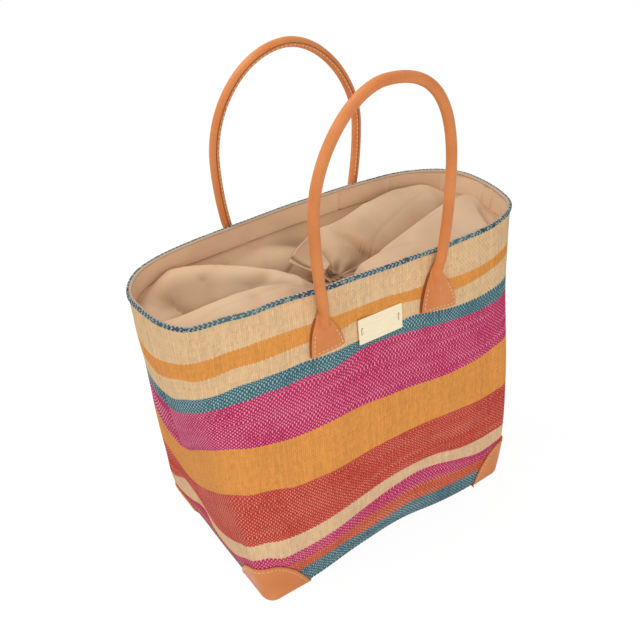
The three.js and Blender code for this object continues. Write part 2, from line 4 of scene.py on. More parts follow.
import bmesh
import bpy
from mathutils import Matrix, Vector, noise
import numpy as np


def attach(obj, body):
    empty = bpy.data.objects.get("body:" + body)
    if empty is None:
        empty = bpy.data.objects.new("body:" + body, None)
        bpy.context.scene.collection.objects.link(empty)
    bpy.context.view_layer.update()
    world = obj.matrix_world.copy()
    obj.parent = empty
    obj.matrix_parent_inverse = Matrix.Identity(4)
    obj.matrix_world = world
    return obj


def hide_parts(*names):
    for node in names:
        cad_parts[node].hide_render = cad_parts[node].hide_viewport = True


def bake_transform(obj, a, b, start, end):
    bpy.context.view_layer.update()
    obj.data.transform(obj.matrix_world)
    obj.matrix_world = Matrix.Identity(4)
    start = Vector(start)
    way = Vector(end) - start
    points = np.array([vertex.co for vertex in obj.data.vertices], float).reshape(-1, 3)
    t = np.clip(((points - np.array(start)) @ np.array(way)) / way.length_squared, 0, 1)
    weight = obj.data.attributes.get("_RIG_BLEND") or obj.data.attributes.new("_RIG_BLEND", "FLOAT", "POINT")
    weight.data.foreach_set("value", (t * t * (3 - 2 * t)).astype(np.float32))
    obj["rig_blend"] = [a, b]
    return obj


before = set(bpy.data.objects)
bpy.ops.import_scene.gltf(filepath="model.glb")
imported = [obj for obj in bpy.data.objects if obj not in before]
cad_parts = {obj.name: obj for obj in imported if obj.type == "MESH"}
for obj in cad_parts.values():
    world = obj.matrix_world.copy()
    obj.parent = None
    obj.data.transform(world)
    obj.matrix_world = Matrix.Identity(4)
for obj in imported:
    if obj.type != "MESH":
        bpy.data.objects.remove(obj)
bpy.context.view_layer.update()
random.seed(7)
print("frame loaded")

# ---- camera, at the photograph's viewing angle
viewpoint = {
    "target": (-0.0082, 0.0130, 0.2052),
    "azimuth": -33.0,
    "elevation": 34.2,
    "distance": 0.8646,
    "roll": -2.3,
    "lens": 50.625,
}


def makeCamera():
    turn, rise, roll = (math.radians(viewpoint[key]) for key in ("azimuth", "elevation", "roll"))
    back = Vector((math.sin(turn) * math.cos(rise), -math.cos(turn) * math.cos(rise), math.sin(rise)))
    level = Vector((0, 0, 1)).cross(back).normalized()
    overhead = back.cross(level)
    right = level * math.cos(roll) + overhead * math.sin(roll)
    up = overhead * math.cos(roll) - level * math.sin(roll)
    camera = bpy.data.objects.new("camera", bpy.data.cameras.new("camera"))
    camera.data.lens = viewpoint["lens"]
    camera.data.sensor_width = 36
    camera.data.clip_start = 0.01
    place = Vector(viewpoint["target"]) + back * viewpoint["distance"]
    camera.matrix_world = Matrix.Translation(place) @ Matrix((right, up, back)).transposed().to_4x4()
    bpy.context.scene.collection.objects.link(camera)
    bpy.context.scene.camera = camera


makeCamera()
print("camera placed")


# ---- small helpers
def mix(a, b, share):
    return a + (b - a) * share


def smooth(value, low, high):
    share = min(1.0, max(0.0, (value - low) / (high - low)))
    return share * share * (3 - 2 * share)


def through(knots, place):
    # smooth curve through (place, value) knots
    if place <= knots[0][0]:
        return knots[0][1]
    for (x0, y0), (x1, y1) in zip(knots, knots[1:]):
        if place <= x1:
            return mix(y0, y1, smooth(place, x0, x1))
    return knots[-1][1]


def wobble(x, y, z, scale, seed=0.0):
    return noise.noise(Vector((x * scale + seed, y * scale, z * scale)))


def srgb(red, green, blue):
    def linear(value):
        value /= 255
        return value / 12.92 if value <= 0.04045 else ((value + 0.055) / 1.055) ** 2.4
    return (linear(red), linear(green), linear(blue), 1.0)


def toObject(mesh, name, body, materials, smoothFaces=True):
    data = bpy.data.meshes.new(name)
    mesh.to_mesh(data)
    mesh.free()
    if smoothFaces:
        data.polygons.foreach_set("use_smooth", [True] * len(data.polygons))
    piece = bpy.data.objects.new(name, data)
    bpy.context.scene.collection.objects.link(piece)
    for material in materials:
        data.materials.append(material)
    if body:
        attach(piece, body)
    return piece


def addModifier(piece, kind, **settings):
    modifier = piece.modifiers.new(kind.title(), kind)
    for key, value in settings.items():
        setattr(modifier, key, value)
    return modifier


# ---- material helpers
class Nodes:
    def __init__(self, name):
        self.material = bpy.data.materials.new(name)
        self.material.use_nodes = True
        self.tree = self.material.node_tree
        self.shader = self.tree.nodes["Principled BSDF"]

    def add(self, kind, inputs=None, **settings):
        made = self.tree.nodes.new("ShaderNode" + kind)
        for key, value in settings.items():
            setattr(made, key, value)
        for key, value in (inputs or {}).items():
            self.feed(made.inputs[key], value)
        return made

    def feed(self, socket, value):
        if isinstance(value, bpy.types.NodeSocket):
            self.tree.links.new(value, socket)
        else:
            socket.default_value = value

    def calc(self, operation, *values, clamp=False):
        made = self.add("Math", operation=operation, use_clamp=clamp)
        for socket, value in zip(made.inputs, values):
            self.feed(socket, value)
        return made.outputs[0]

    def times(self, first, second, **settings):
        return self.calc("MULTIPLY", first, second, **settings)

    def plus(self, first, second):
        return self.calc("ADD", first, second)

    def minus(self, first, second):
        return self.calc("SUBTRACT", first, second)

    def span(self, value, low, high, toLow=0.0, toHigh=1.0):
        made = self.add("MapRange", {"Value": value, "From Min": low, "From Max": high,
                                     "To Min": toLow, "To Max": toHigh}, interpolation_type="SMOOTHSTEP")
        return made.outputs["Result"]

    def blend(self, share, first, second, kind="MIX"):
        made = self.add("Mix", data_type="RGBA", blend_type=kind)
        self.feed(made.inputs["Factor"], share)
        self.feed(made.inputs[6], first)
        self.feed(made.inputs[7], second)
        return made.outputs[2]

    def grain(self, vector, scale, detail=2.0, roughness=0.5, stretch=None):
        if stretch:
            vector = self.add("VectorMath", {0: vector, 1: stretch}, operation="MULTIPLY").outputs[0]
        made = self.add("TexNoise", {"Vector": vector, "Scale": scale, "Detail": detail,
                                     "Roughness": roughness})
        return made.outputs["Fac"]

    def objectSpace(self):
        return self.add("TexCoord").outputs["Object"]

    def finish(self, **inputs):
        for key, value in inputs.items():
            self.feed(self.shader.inputs[key.replace("_", " ")], value)
        return self.material

    def relief(self, height, distance, strength=1.0):
        made = self.add("Bump", {"Height": height, "Distance": distance, "Strength": strength})
        self.feed(self.shader.inputs["Normal"], made.outputs["Normal"])


# ---- body of the bag, in metres
bagForm = {
    "height": 0.300,
    "rim": (0.366, 0.146, 0.056),
    "base": (0.294, 0.190, 0.010),
    "ovalGrowth": 2,
    "swell": (0.003, 0.003),
    "crown": (0.005, 0.003),
    "squareness": 3.2,
    "lift": 0.0075,
    "liftReach": 0.115,
    "tuck": 0.005,
    "tuckHeight": 0.070,
    # fold across the lower part of each end: its depth, then its middle and reach along y, and its
    # start, middle and fade in height
    "crease": 0.0115,
    "creaseShape": (0.034, 0.024, 0.009, 0.030, 0.018),
    # the slack middle leans to the left, and the front right corner of the base is pushed back
    "leanLeft": 0.0028,
    "cornerBack": 0.0055,
    "bottom": 0.0019,
    "clothHeight": 0.315,
    # how far the rim rises or sinks, by share of the half lap from the left end to the right end
    "frontWave": [(0, -3.5), (0.1, -4.5), (0.2, 4.5), (0.29, 8), (0.4, 6), (0.54, 3.6), (0.66, 1),
                  (0.8, -2), (0.93, -4.5), (1, -3)],
    "backWave": [(0, -3.5), (0.07, -6), (0.15, -3.5), (0.35, -2), (0.5, 0), (0.75, 0), (0.92, -2.5), (1, -3)],
}
levelStep = 0.005
levelCount = 66
lapSamples = 128


def sectionAt(share):
    swell = 4 * share * (1 - share)
    width, depth = (mix(a, b, share) for a, b in zip(bagForm["base"][:2], bagForm["rim"][:2]))
    radius = mix(bagForm["base"][2], bagForm["rim"][2], share ** bagForm["ovalGrowth"])
    return (width / 2 + bagForm["swell"][0] * swell, depth / 2 + bagForm["swell"][1] * swell, radius,
            bagForm["crown"][0] * share, bagForm["crown"][1] * share)


def quarterOutline(height):
    # from the middle of an end to the middle of a long side, at even steps of its length
    share = height / bagForm["height"]
    halfWidth, halfDepth, radius, endCrown, frontCrown = sectionAt(share)
    flatX, flatY = halfWidth - radius, halfDepth - radius
    rough = []
    for step in range(8):
        along = step / 8
        rough.append((halfWidth + endCrown * (1 - along ** 2) ** 2, along * flatY))
    for step in range(12):
        angle = step / 12 * math.pi / 2
        rough.append((flatX + radius * math.cos(angle), flatY + radius * math.sin(angle)))
    for step in range(33):
        along = 1 - step / 32
        rough.append((along * flatX, halfDepth + frontCrown * (1 - along ** 2) ** 2))
    power = bagForm["squareness"]
    eased = []
    for x, y in rough:
        acrossX, acrossY = x / (halfWidth + endCrown), y / (halfDepth + frontCrown)
        reach = (acrossX ** power + acrossY ** power) ** (1 / power)
        scale = mix(1, 1 / reach, share ** bagForm["ovalGrowth"])
        eased.append(Vector((x * scale, y * scale)))
    lengths = [0.0]
    for a, b in zip(eased, eased[1:]):
        lengths.append(lengths[-1] + (b - a).length)
    even, place = [], 0
    for sample in range(lapSamples + 1):
        target = lengths[-1] * sample / lapSamples
        while place < len(lengths) - 2 and lengths[place + 1] < target:
            place += 1
        part = (target - lengths[place]) / (lengths[place + 1] - lengths[place])
        even.append(eased[place].lerp(eased[place + 1], part))
    rows = []
    for sample, point in enumerate(even):
        ahead = even[min(lapSamples, sample + 1)] - even[max(0, sample - 1)]
        outward = Vector((-ahead.y, ahead.x)).normalized() * -1
        if outward.dot(point) < 0:
            outward = -outward
        if sample == 0:
            outward = Vector((1, 0))
        if sample == lapSamples:
            outward = Vector((0, 1))
        rows.append((point.x, point.y, outward.x, outward.y))
    return rows, lengths[-1]


outlines = [quarterOutline(level * levelStep) for level in range(levelCount)]


def wallAt(quarter, height):
    row = min(levelCount - 1.001, max(0.0, height / levelStep))
    column = min(lapSamples - 0.001, max(0.0, quarter * lapSamples))
    r, c = int(row), int(column)
    fr, fc = row - r, column - c
    low, high = outlines[r][0], outlines[r + 1][0]
    return [mix(mix(low[c][k], low[c + 1][k], fc), mix(high[c][k], high[c + 1][k], fc), fr) for k in range(4)]


def archAt(x):
    return 0.5 + 0.5 * math.cos(math.pi * min(1, abs(x) / bagForm["liftReach"]))


def fadeBelow(z, height):
    return max(0.0, 1 - max(0.0, z) / height) ** 2


def liftAt(x, z):
    return bagForm["lift"] * archAt(x) * fadeBelow(z, bagForm["tuckHeight"])


# dents and bulges of the soft walls: place, reach along y or x and z, depth outwards
wallMarks = [
    {"at": (-0.150, 0.075, 0.030), "reach": (0.030, 0.022, 0.026), "out": 0.003},
    {"at": (-0.150, -0.030, 0.045), "reach": (0.030, 0.030, 0.030), "out": 0.002},
    {"at": (-0.030, -0.08, 0.262), "reach": (0.014, 0.03, 0.030), "out": -0.0012},
    {"at": (-0.155, 0.062, 0.300), "reach": (0.050, 0.040, 0.090), "out": 0.0035},
    {"at": (-0.172, -0.050, 0.300), "reach": (0.040, 0.035, 0.080), "out": -0.0035},
    {"at": (0.060, -0.09, 0.120), "reach": (0.050, 0.05, 0.060), "out": 0.0015},
    {"at": (-0.080, -0.09, 0.090), "reach": (0.050, 0.05, 0.050), "out": 0.0015},
]


def pressOut(x, y, signY, height, halfWidth, halfDepth):
    tuck = bagForm["tuck"] * fadeBelow(height, bagForm["tuckHeight"]) * archAt(x)
    dy = -math.copysign(tuck * (abs(y) / halfDepth) ** 4, y)
    place, across, start, middle, tall = bagForm["creaseShape"]
    rise = min(1, max(0, (height - start) / (middle - start)))
    fall = math.exp(-((max(0, height - middle) / tall) ** 2))
    crease = bagForm["crease"] * rise * fall * math.exp(-(((signY * y - place) / across) ** 2))
    dx = -math.copysign(crease * (abs(x) / halfWidth) ** 6, x)
    return dx, dy


def marksAt(x, y, z):
    total = 0.0
    for mark in wallMarks:
        reach = sum(((a - b) / c) ** 2 for a, b, c in zip((x, y, z), mark["at"], mark["reach"]))
        if reach < 6:
            total += mark["out"] * math.exp(-reach)
    return total


def wallPoint(signX, signY, quarter, z, out):
    # a point of the wall at a height, out metres outside the raffia
    x, y, outX, outY = wallAt(quarter, z)
    height = z - liftAt(x, z)
    x, y, outX, outY = wallAt(quarter, height)
    halfWidth, halfDepth = sectionAt(height / bagForm["height"])[:2]
    dx, dy = pressOut(x, y, signY, height, halfWidth, halfDepth)
    px, py = signX * (x + dx), signY * (y + dy)
    share = min(1, max(0, height / bagForm["height"]))
    px -= bagForm["leanLeft"] * 4 * share * (1 - share)
    if py < 0:
        py += bagForm["cornerBack"] * smooth(px, 0.04, 0.15) * fadeBelow(height, 0.09)
    out += marksAt(px, py, z) + 0.0007 * wobble(px, py, z, 22)
    return Vector((px + signX * outX * out, py + signY * outY * out, z))


def halfLap(share):
    # share 0 is the left end's seam, 1 the right end's
    return (-1, 2 * share) if share < 0.5 else (1, 2 - 2 * share)


def quarterOfX(x, z):
    low, high = 0.0, 1.0
    for _ in range(20):
        middle = (low + high) / 2
        if wallAt(middle, z)[0] > abs(x):
            low = middle
        else:
            high = middle
    return (low + high) / 2


def longWall(signY, x, z, out):
    return wallPoint(math.copysign(1, x), signY, quarterOfX(x, z), z, out)


def waveAt(signY, share):
    return through(bagForm["frontWave" if signY < 0 else "backWave"], share) / 1000


def rimTop(signY, share):
    return 0.300 + waveAt(signY, share)


# how far the stripes wander from even heights, in millimetres: by share of the half lap, then by
# height in the cloth
stripeDrift = {
    -1: ([0, 0.04, 0.08, 0.12, 0.16, 0.20, 0.24, 0.28, 0.32, 0.38, 0.44, 0.50, 0.56, 0.62, 0.68, 0.74,
          0.80, 1], {
        0.020: [-14, -14, -13, -8, 0, 2, 0, 0, 0, 0, -3, -2, 2, 1, 0, -1, -1, 0],
        0.036: [-24, -24, -23, -13, -1, 3, -2, -4, -5, -4, 0, 2, 6, 5, 0, -2, -1, 0],
        0.052: [-35, -35, -30, -16, -1, 6, -5, -7, -7, -5, 0, 6, 10, 8, 1, -6, -2, 0],
        0.070: [-26, -22, -16, -8, 3, 8, 1, -3, -4, -3, 0, 4, 6, 5, -1, -3, -2, 0],
        0.128: [-31, -21, -9, 2, 11, 9, 4, -3, -5, -7, -6, -5, -4, -4, -6, -8, -6, -4],
        0.178: [-28, -18, -4, 7, 12, 9, 4, 0, -1, 0, 0, -2, -3, -5, -6, -5, 0, 0],
        0.233: [-29, -23, -13, -4, -1, 1, 2, 0, 2, 0, 6, 8, 4, 1, -2, -4, -4, -4],
        0.249: [-28, -23, -13, -6, -3, 1, 1, 0, 1, 0, 0, 0, 4, 0, -4, -5, -4, -4],
        0.266: [-22, -15, -7, -4, -1, 2, 1, 1, 2, 1, 5, 7, 4, 0, -2, 0, 3, 0],
        0.283: [-20, -14, -8, -3, -1, 1, 2, 1, 1, 1, 0, 1, -2, -2, -6, -6, -4, -4]}),
    1: ([0, 0.04, 0.08, 0.12, 0.16, 0.20, 0.30, 1], {
        0.020: [-14, -14, -14, -14, -14, -12, 0, 0],
        0.036: [-24, -24, -24, -24, -24, -20, 0, 0],
        0.052: [-35, -33, -33, -36, -34, -28, 0, 0],
        0.070: [-26, -14, -10, -20, -30, -26, 0, 0],
        0.128: [-31, -34, -34, -34, -32, -26, 0, 0],
        0.178: [-28, -30, -30, -26, -20, -14, 0, 0],
        0.233: [-29, -29, -29, -27, -23, -17, 0, 0],
        0.249: [-28, -28, -26, -24, -20, -14, 0, 0],
        0.266: [-22, -20, -16, -12, -8, -6, 0, 0],
        0.283: [-20, -18, -14, -10, -6, -4, 0, -4]}),
}


def curve(places, values, place):
    # smooth line through all the values
    spot = next((index for index in range(len(places) - 2) if place < places[index + 1]), len(places) - 2)
    before, after = max(0, spot - 1), min(len(places) - 1, spot + 2)
    wide = places[spot + 1] - places[spot]
    share = (place - places[spot]) / wide
    startSlope = (values[spot + 1] - values[before]) / (places[spot + 1] - places[before]) * wide
    endSlope = (values[after] - values[spot]) / (places[after] - places[spot]) * wide
    square, cube = share ** 2, share ** 3
    return (values[spot] * (2 * cube - 3 * square + 1) + startSlope * (cube - 2 * square + share)
            + values[spot + 1] * (3 * square - 2 * cube) + endSlope * (cube - square))


def driftAt(signY, share, cloth):
    places, rows = stripeDrift[signY]
    heights = [0.0, *rows, bagForm["clothHeight"]]
    spot = next((index for index in range(len(heights) - 2) if cloth < heights[index + 1]), len(heights) - 2)
    low, high = (curve(places, rows[height], share) if height in rows else 0.0
                 for height in (heights[spot], heights[spot + 1]))
    return mix(low, high, (cloth - heights[spot]) / (heights[spot + 1] - heights[spot])) / 1000


def clothZ(signY, share, cloth):
    # height of a point of the cloth, cloth metres up from its lower edge
    signX, quarter = halfLap(share)
    x = wallAt(quarter, 0.002)[0]
    low = bagForm["bottom"] + bagForm["lift"] * archAt(x)
    high = rimTop(signY, share)
    return mix(low, high, cloth / bagForm["clothHeight"]) + driftAt(signY, share, cloth)


# ---- raffia cloth
raffiaCloth = {
    "warp": 0.0019,
    "row": 0.0021,
    "thickness": 0.0015,
    "relief": 0.00022,
    "seamGap": 0.00015,
    "top": 0.3137,
    "halfLap": 0.4655,
    # from the lower edge up: where each stripe ends, its colour, its dots, and how much these stand out,
    # which also sets the painted shade between its strands
    "stripes": [
        (0.020, (70, 112, 126), (170, 200, 198), 0.85),
        (0.036, (212, 86, 62), (240, 168, 128), 0.75),
        (0.052, (202, 40, 98), (242, 154, 174), 0.85),
        (0.070, (235, 197, 154), (246, 218, 182), 0.06),
        (0.128, (203, 60, 52), (240, 158, 130), 0.75),
        (0.178, (234, 156, 76), (248, 192, 118), 0.08),
        (0.233, (202, 34, 98), (246, 158, 180), 0.90),
        (0.249, (62, 106, 120), (172, 202, 200), 0.85),
        (0.266, (235, 196, 148), (246, 218, 182), 0.06),
        (0.283, (234, 156, 76), (248, 192, 118), 0.08),
        (0.320, (235, 196, 148), (246, 218, 182), 0.06),
    ],
}


def raffiaMaterial():
    n = Nodes("raffia")
    cloth = n.add("Attribute", attribute_name="cloth").outputs["Vector"]
    split = n.add("SeparateXYZ", {"Vector": cloth}).outputs
    row = raffiaCloth["row"]
    rampTop = raffiaCloth["stripes"][-1][0]
    across = n.calc("DIVIDE", split[0], raffiaCloth["warp"])
    column = n.calc("FLOOR", across)
    inColumn = n.calc("ABSOLUTE", n.minus(n.calc("FRACT", across), 0.5))
    odd = n.times(n.calc("MODULO", column, 2.0), 0.5)
    # strands of uneven thickness, each over one warp and under the next
    ragged = n.grain(cloth, 1.0, 2.0, 0.5, (11.0, 150.0, 1.0))
    uneven = n.times(n.minus(ragged, 0.5), 1.5)
    up = n.plus(n.calc("DIVIDE", split[1], 2 * row), uneven)
    shifted = n.minus(up, odd)
    floatRow = n.calc("FLOOR", n.plus(shifted, 0.5))
    inFloat = n.calc("ABSOLUTE", n.minus(shifted, floatRow))

    def stripes(index):
        # the lookup is shifted on every other warp, so the stripes' edges come out finely toothed
        height = n.calc("DIVIDE", n.plus(split[1], n.times(odd, 0.7 * row)), rampTop)
        ramp = n.add("ValToRGB", {"Fac": height})
        ramp.color_ramp.interpolation = "CONSTANT"
        elements = ramp.color_ramp.elements
        elements.remove(elements[1])
        start = 0.0
        for order, stripe in enumerate(raffiaCloth["stripes"]):
            element = elements[0] if order == 0 else elements.new(start / rampTop)
            element.position = start / rampTop
            element.color = (*srgb(*stripe[index])[:3], stripe[3])
            start = stripe[0]
        return ramp.outputs
    colour, contrast = stripes(1)
    dots = stripes(2)[0]
    cell = n.add("CombineXYZ", {"X": column, "Y": floatRow, "Z": odd}).outputs[0]
    random1 = n.add("TexWhiteNoise", {"Vector": cell}, noise_dimensions="3D").outputs["Value"]
    strand = n.add("TexWhiteNoise", {"W": column}, noise_dimensions="1D").outputs["Value"]
    streak = n.grain(cloth, 1.0, 2.0, 0.6, (14.0, 420.0, 1.0))
    rib = n.grain(cloth, 1.0, 2.0, 0.6, (520.0, 16.0, 1.0))
    patch = n.grain(cloth, 22.0, 2.0, 0.5)
    toneAndShade = 1.05
    for source, share in ((random1, 0.16), (strand, 0.10), (streak, 0.20), (rib, 0.15), (patch, 0.16)):
        toneAndShade = n.plus(toneAndShade, n.times(n.minus(source, 0.5), share))
    # painted shade: darker in the gaps between strands and at the float ends, deeper in the dyed stripes; the
    # factor also holds random tone
    gap = n.times(n.span(inColumn, 0.30, 0.5), n.span(inFloat, 0.02, 0.25, 0.45, 1.0))
    gapShade = n.times(gap, n.plus(0.12, n.times(contrast, 0.62)))
    toneAndShade = n.times(toneAndShade, n.minus(1.0, gapShade))
    lit = n.add("CombineColor", {"Red": toneAndShade, "Green": toneAndShade, "Blue": toneAndShade}).outputs[0]
    body = n.blend(1.0, colour, lit, "MULTIPLY")
    dot = n.times(n.span(inFloat, 0.20, 0.34), n.minus(1.0, n.span(inColumn, 0.26, 0.46)))
    showing = n.plus(n.times(random1, 0.95), n.span(patch, 0.35, 0.65, 0.30, 0.85))
    dot = n.times(n.times(dot, showing, clamp=True), contrast)
    body = n.blend(dot, body, dots)
    # husk specks in the undyed and yellow straw
    speckle = n.add("TexVoronoi", {"Vector": cloth, "Scale": 300.0, "Randomness": 1.0}, feature="F1")
    speck = n.minus(1.0, n.span(speckle.outputs["Distance"], 0.10, 0.24))
    rare = n.calc("GREATER_THAN", n.add("SeparateXYZ", {"Vector": speckle.outputs["Color"]}).outputs[0], 0.80)
    speck = n.times(n.times(speck, rare), n.minus(0.45, n.times(contrast, 0.5)), clamp=True)
    body = n.blend(speck, body, srgb(140, 96, 52))
    crown = n.times(n.times(inColumn, inColumn), 3.2)
    bow = n.times(n.times(inFloat, inFloat), 3.0)
    bump = n.times(n.minus(1.0, crown), n.minus(1.0, bow))
    n.relief(n.plus(bump, n.times(streak, 0.4)), 0.0004, 0.45)
    n.feed(n.shader.inputs["Roughness"], n.plus(0.68, n.times(random1, 0.2)))
    return n.finish(Base_Color=body, Specular_IOR_Level=0.18)


raffia = raffiaMaterial()


def raffiaPanel(name, signY, node):
    columns = round(raffiaCloth["halfLap"] / raffiaCloth["warp"])
    rows = round(raffiaCloth["top"] / raffiaCloth["row"])
    mesh = bmesh.new()
    bmesh.ops.create_grid(mesh, x_segments=columns - 1, y_segments=rows, size=1)
    layer = mesh.verts.layers.float_vector.new("cloth")
    for vertex in mesh.verts:
        column = round((vertex.co.x + 1) / 2 * (columns - 1))
        row = round((vertex.co.y + 1) / 2 * rows)
        share = (column + 0.5) / columns
        if column in (0, columns - 1):
            share = round(share)
        cloth = row / rows * raffiaCloth["top"]
        signX, quarter = halfLap(share)
        relief = raffiaCloth["relief"] * (1 if (column + row) % 2 else -1)
        vertex.co = wallPoint(signX, signY, quarter, clothZ(signY, share, cloth), relief)
        vertex.co.y = signY * max(signY * vertex.co.y, raffiaCloth["seamGap"])
        vertex[layer] = ((column + 0.5) * raffiaCloth["warp"], cloth, 0)
    bmesh.ops.recalc_face_normals(mesh, faces=mesh.faces)
    face = min(mesh.faces, key=lambda f: (f.calc_center_median() - Vector((0, signY * 0.09, 0.15))).length)
    if face.normal.y * signY < 0:
        bmesh.ops.reverse_faces(mesh, faces=mesh.faces)
    panel = toObject(mesh, name, "bag", [raffia])
    addModifier(panel, "SOLIDIFY", thickness=raffiaCloth["thickness"], offset=-1)
    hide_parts(node)


raffiaPanel("front_cloth", -1, "raffia_front_panel")
raffiaPanel("back_cloth", 1, "raffia_back_panel")
print("raffia walls made")


# ---- cotton, leather, thread and metal
def cottonMaterial(name, low, high, withPaintedShade=False):
    n = Nodes(name)
    place = n.objectSpace()
    cloud = n.grain(place, 16.0, 3.0, 0.55)
    colour = n.blend(n.span(cloud, 0.3, 0.7), srgb(*low), srgb(*high))
    slub = n.grain(place, 1.0, 2.0, 0.6, (90.0, 700.0, 700.0))
    colour = n.blend(n.times(n.span(slub, 0.5, 0.8), 0.25), colour, srgb(216, 174, 136))
    if withPaintedShade:
        # painted shade: soft dark where folds meet, from shade values stored on the cloth's vertices
        paintedShade = n.add("Attribute", attribute_name="paintedShade").outputs["Fac"]
        colour = n.blend(paintedShade, colour, srgb(118, 80, 50))
    warp = n.grain(place, 1500.0, 1.0)
    n.relief(n.plus(n.times(warp, 0.5), n.times(cloud, 2.0)), 0.0004, 0.35)
    n.feed(n.shader.inputs["Roughness"], n.plus(0.78, n.times(warp, 0.12)))
    return n.finish(Base_Color=colour, Specular_IOR_Level=0.15, Sheen_Weight=0.06, Sheen_Roughness=0.6)


def leatherMaterial(name, low, high):
    n = Nodes(name)
    place = n.objectSpace()
    broad = n.grain(place, 30.0, 3.0, 0.55)
    fine = n.grain(place, 420.0, 3.0, 0.6)
    pores = n.add("TexVoronoi", {"Vector": place, "Scale": 1300.0}, feature="F1").outputs["Distance"]
    colour = n.blend(n.span(broad, 0.25, 0.75), srgb(*low), srgb(*high))
    colour = n.blend(n.times(n.span(fine, 0.55, 0.8), 0.25), colour, srgb(196, 106, 54))
    height = n.plus(n.times(pores, 0.6), n.times(fine, 0.8))
    n.relief(height, 0.00025, 0.4)
    n.feed(n.shader.inputs["Roughness"], n.plus(0.38, n.times(fine, 0.22)))
    return n.finish(Base_Color=colour, Specular_IOR_Level=0.35, Coat_Weight=0.06, Coat_Roughness=0.4)


def threadMaterial(name, colour, twist):
    n = Nodes(name)
    place = n.objectSpace()
    strand = n.grain(place, 1400.0, 2.0, 0.6)
    shade = n.blend(n.span(strand, 0.3, 0.7), colour, twist)
    n.relief(strand, 0.0002, 0.5)
    return n.finish(Base_Color=shade, Roughness=0.7, Specular_IOR_Level=0.3, Sheen_Weight=0.1)


def plateMaterial():
    n = Nodes("plate_metal")
    place = n.objectSpace()
    brushed = n.grain(place, 1.0, 3.0, 0.6, (60.0, 60.0, 2600.0))
    spots = n.grain(place, 90.0, 2.0)
    colour = n.blend(n.span(brushed, 0.3, 0.7), srgb(240, 222, 182), srgb(250, 238, 208))
    n.relief(n.plus(brushed, n.times(spots, 0.4)), 0.00008, 0.35)
    n.feed(n.shader.inputs["Roughness"], n.plus(0.24, n.times(brushed, 0.18)))
    return n.finish(Base_Color=colour, Metallic=0.9)


cotton = cottonMaterial("cotton", (230, 199, 166), (240, 211, 178))
# the closure's cotton is the same cloth as the lining and facing, set a little darker as painted shade, with
# further painted shade in its folds
closureCotton = cottonMaterial("closure_cotton", (224, 187, 151), (234, 199, 163), withPaintedShade=True)
leather = leatherMaterial("leather", (217, 128, 66), (230, 144, 80))
# darker leather for the tab backings: partly their darker burnished edges, partly painted shadow where they
# show beneath the tabs' edges
backingLeather = leatherMaterial("backing_leather", (150, 82, 46), (168, 94, 52))
thread = threadMaterial("stitch_thread", srgb(244, 222, 186), srgb(226, 196, 150))
cordCore = threadMaterial("core_cord", srgb(232, 222, 200), srgb(205, 192, 165))
plateMetal = plateMaterial()


def dressNode(name, material):
    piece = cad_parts[name]
    if not piece.material_slots:
        piece.data.materials.append(material)
    for slot in piece.material_slots:
        slot.material = material


for nodeName in ("metal_plate", "plate_prong_left", "plate_prong_right"):
    dressNode(nodeName, plateMetal)
for nodeName in ("handle_core_front", "handle_core_back"):
    dressNode(nodeName, cordCore)


# ---- bands that go all round inside the rim
def fullLap(share):
    # share 0 and 1 are the left end's seam; the front comes first, then the back
    share %= 1.0
    if share < 0.5:
        return -1, 2 * share
    return 1, 2 - 2 * share


def lapSpot(share, z, out):
    signY, half = fullLap(share)
    signX, quarter = halfLap(half)
    return wallPoint(signX, signY, quarter, z, out)


def ringBand(columns, rows, place, toneName=None):
    mesh = bmesh.new()
    bmesh.ops.create_grid(mesh, x_segments=columns, y_segments=rows, size=1)
    tone = mesh.verts.layers.float.new(toneName) if toneName else None
    for vertex in mesh.verts:
        share, rise = (vertex.co.x + 1) / 2, (vertex.co.y + 1) / 2
        if tone:
            vertex.co, vertex[tone] = place(share, rise)
        else:
            vertex.co = place(share, rise)
    bmesh.ops.remove_doubles(mesh, verts=mesh.verts, dist=0.00002)
    return mesh


seamWave = 0.6
facing = {
    "bottom": 0.2752, "out": -0.0022, "thickness": 0.0008, "tuck": 0.0014,
    "creases": (0.62, 0.553, 0.502, 0.487, 0.685), "creaseWidth": 0.0030, "creaseDepth": 0.0026,
}


def makeFacing():
    def place(share, rise):
        signY, half = fullLap(share)
        top = rimTop(signY, half) - facing["tuck"]
        uneven = 0.0007 * wobble(share * 22, 0, 0, 1.0, 8)
        bottom = facing["bottom"] + waveAt(signY, half) * seamWave + uneven
        z = mix(bottom, top, rise)
        pucker = 0.0005 * wobble(share * 40, rise, 0, 1.6, 4)
        for at in facing["creases"]:
            away = (share - at) / facing["creaseWidth"]
            pucker += facing["creaseDepth"] * away * math.exp(-away * away) * (1 - 0.5 * rise)
        return lapSpot(share, z, facing["out"] - pucker)
    mesh = ringBand(1080, 10, place)
    bmesh.ops.recalc_face_normals(mesh, faces=mesh.faces)
    band = toObject(mesh, "facing_band", "bag", [cotton])
    addModifier(band, "SOLIDIFY", thickness=facing["thickness"], offset=0)
    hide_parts("rim_facing")


makeFacing()


lining = {"bottom": 0.0042, "top": 0.2745, "out": -0.0022, "seamGap": 0.0004, "thickness": 0.0007}


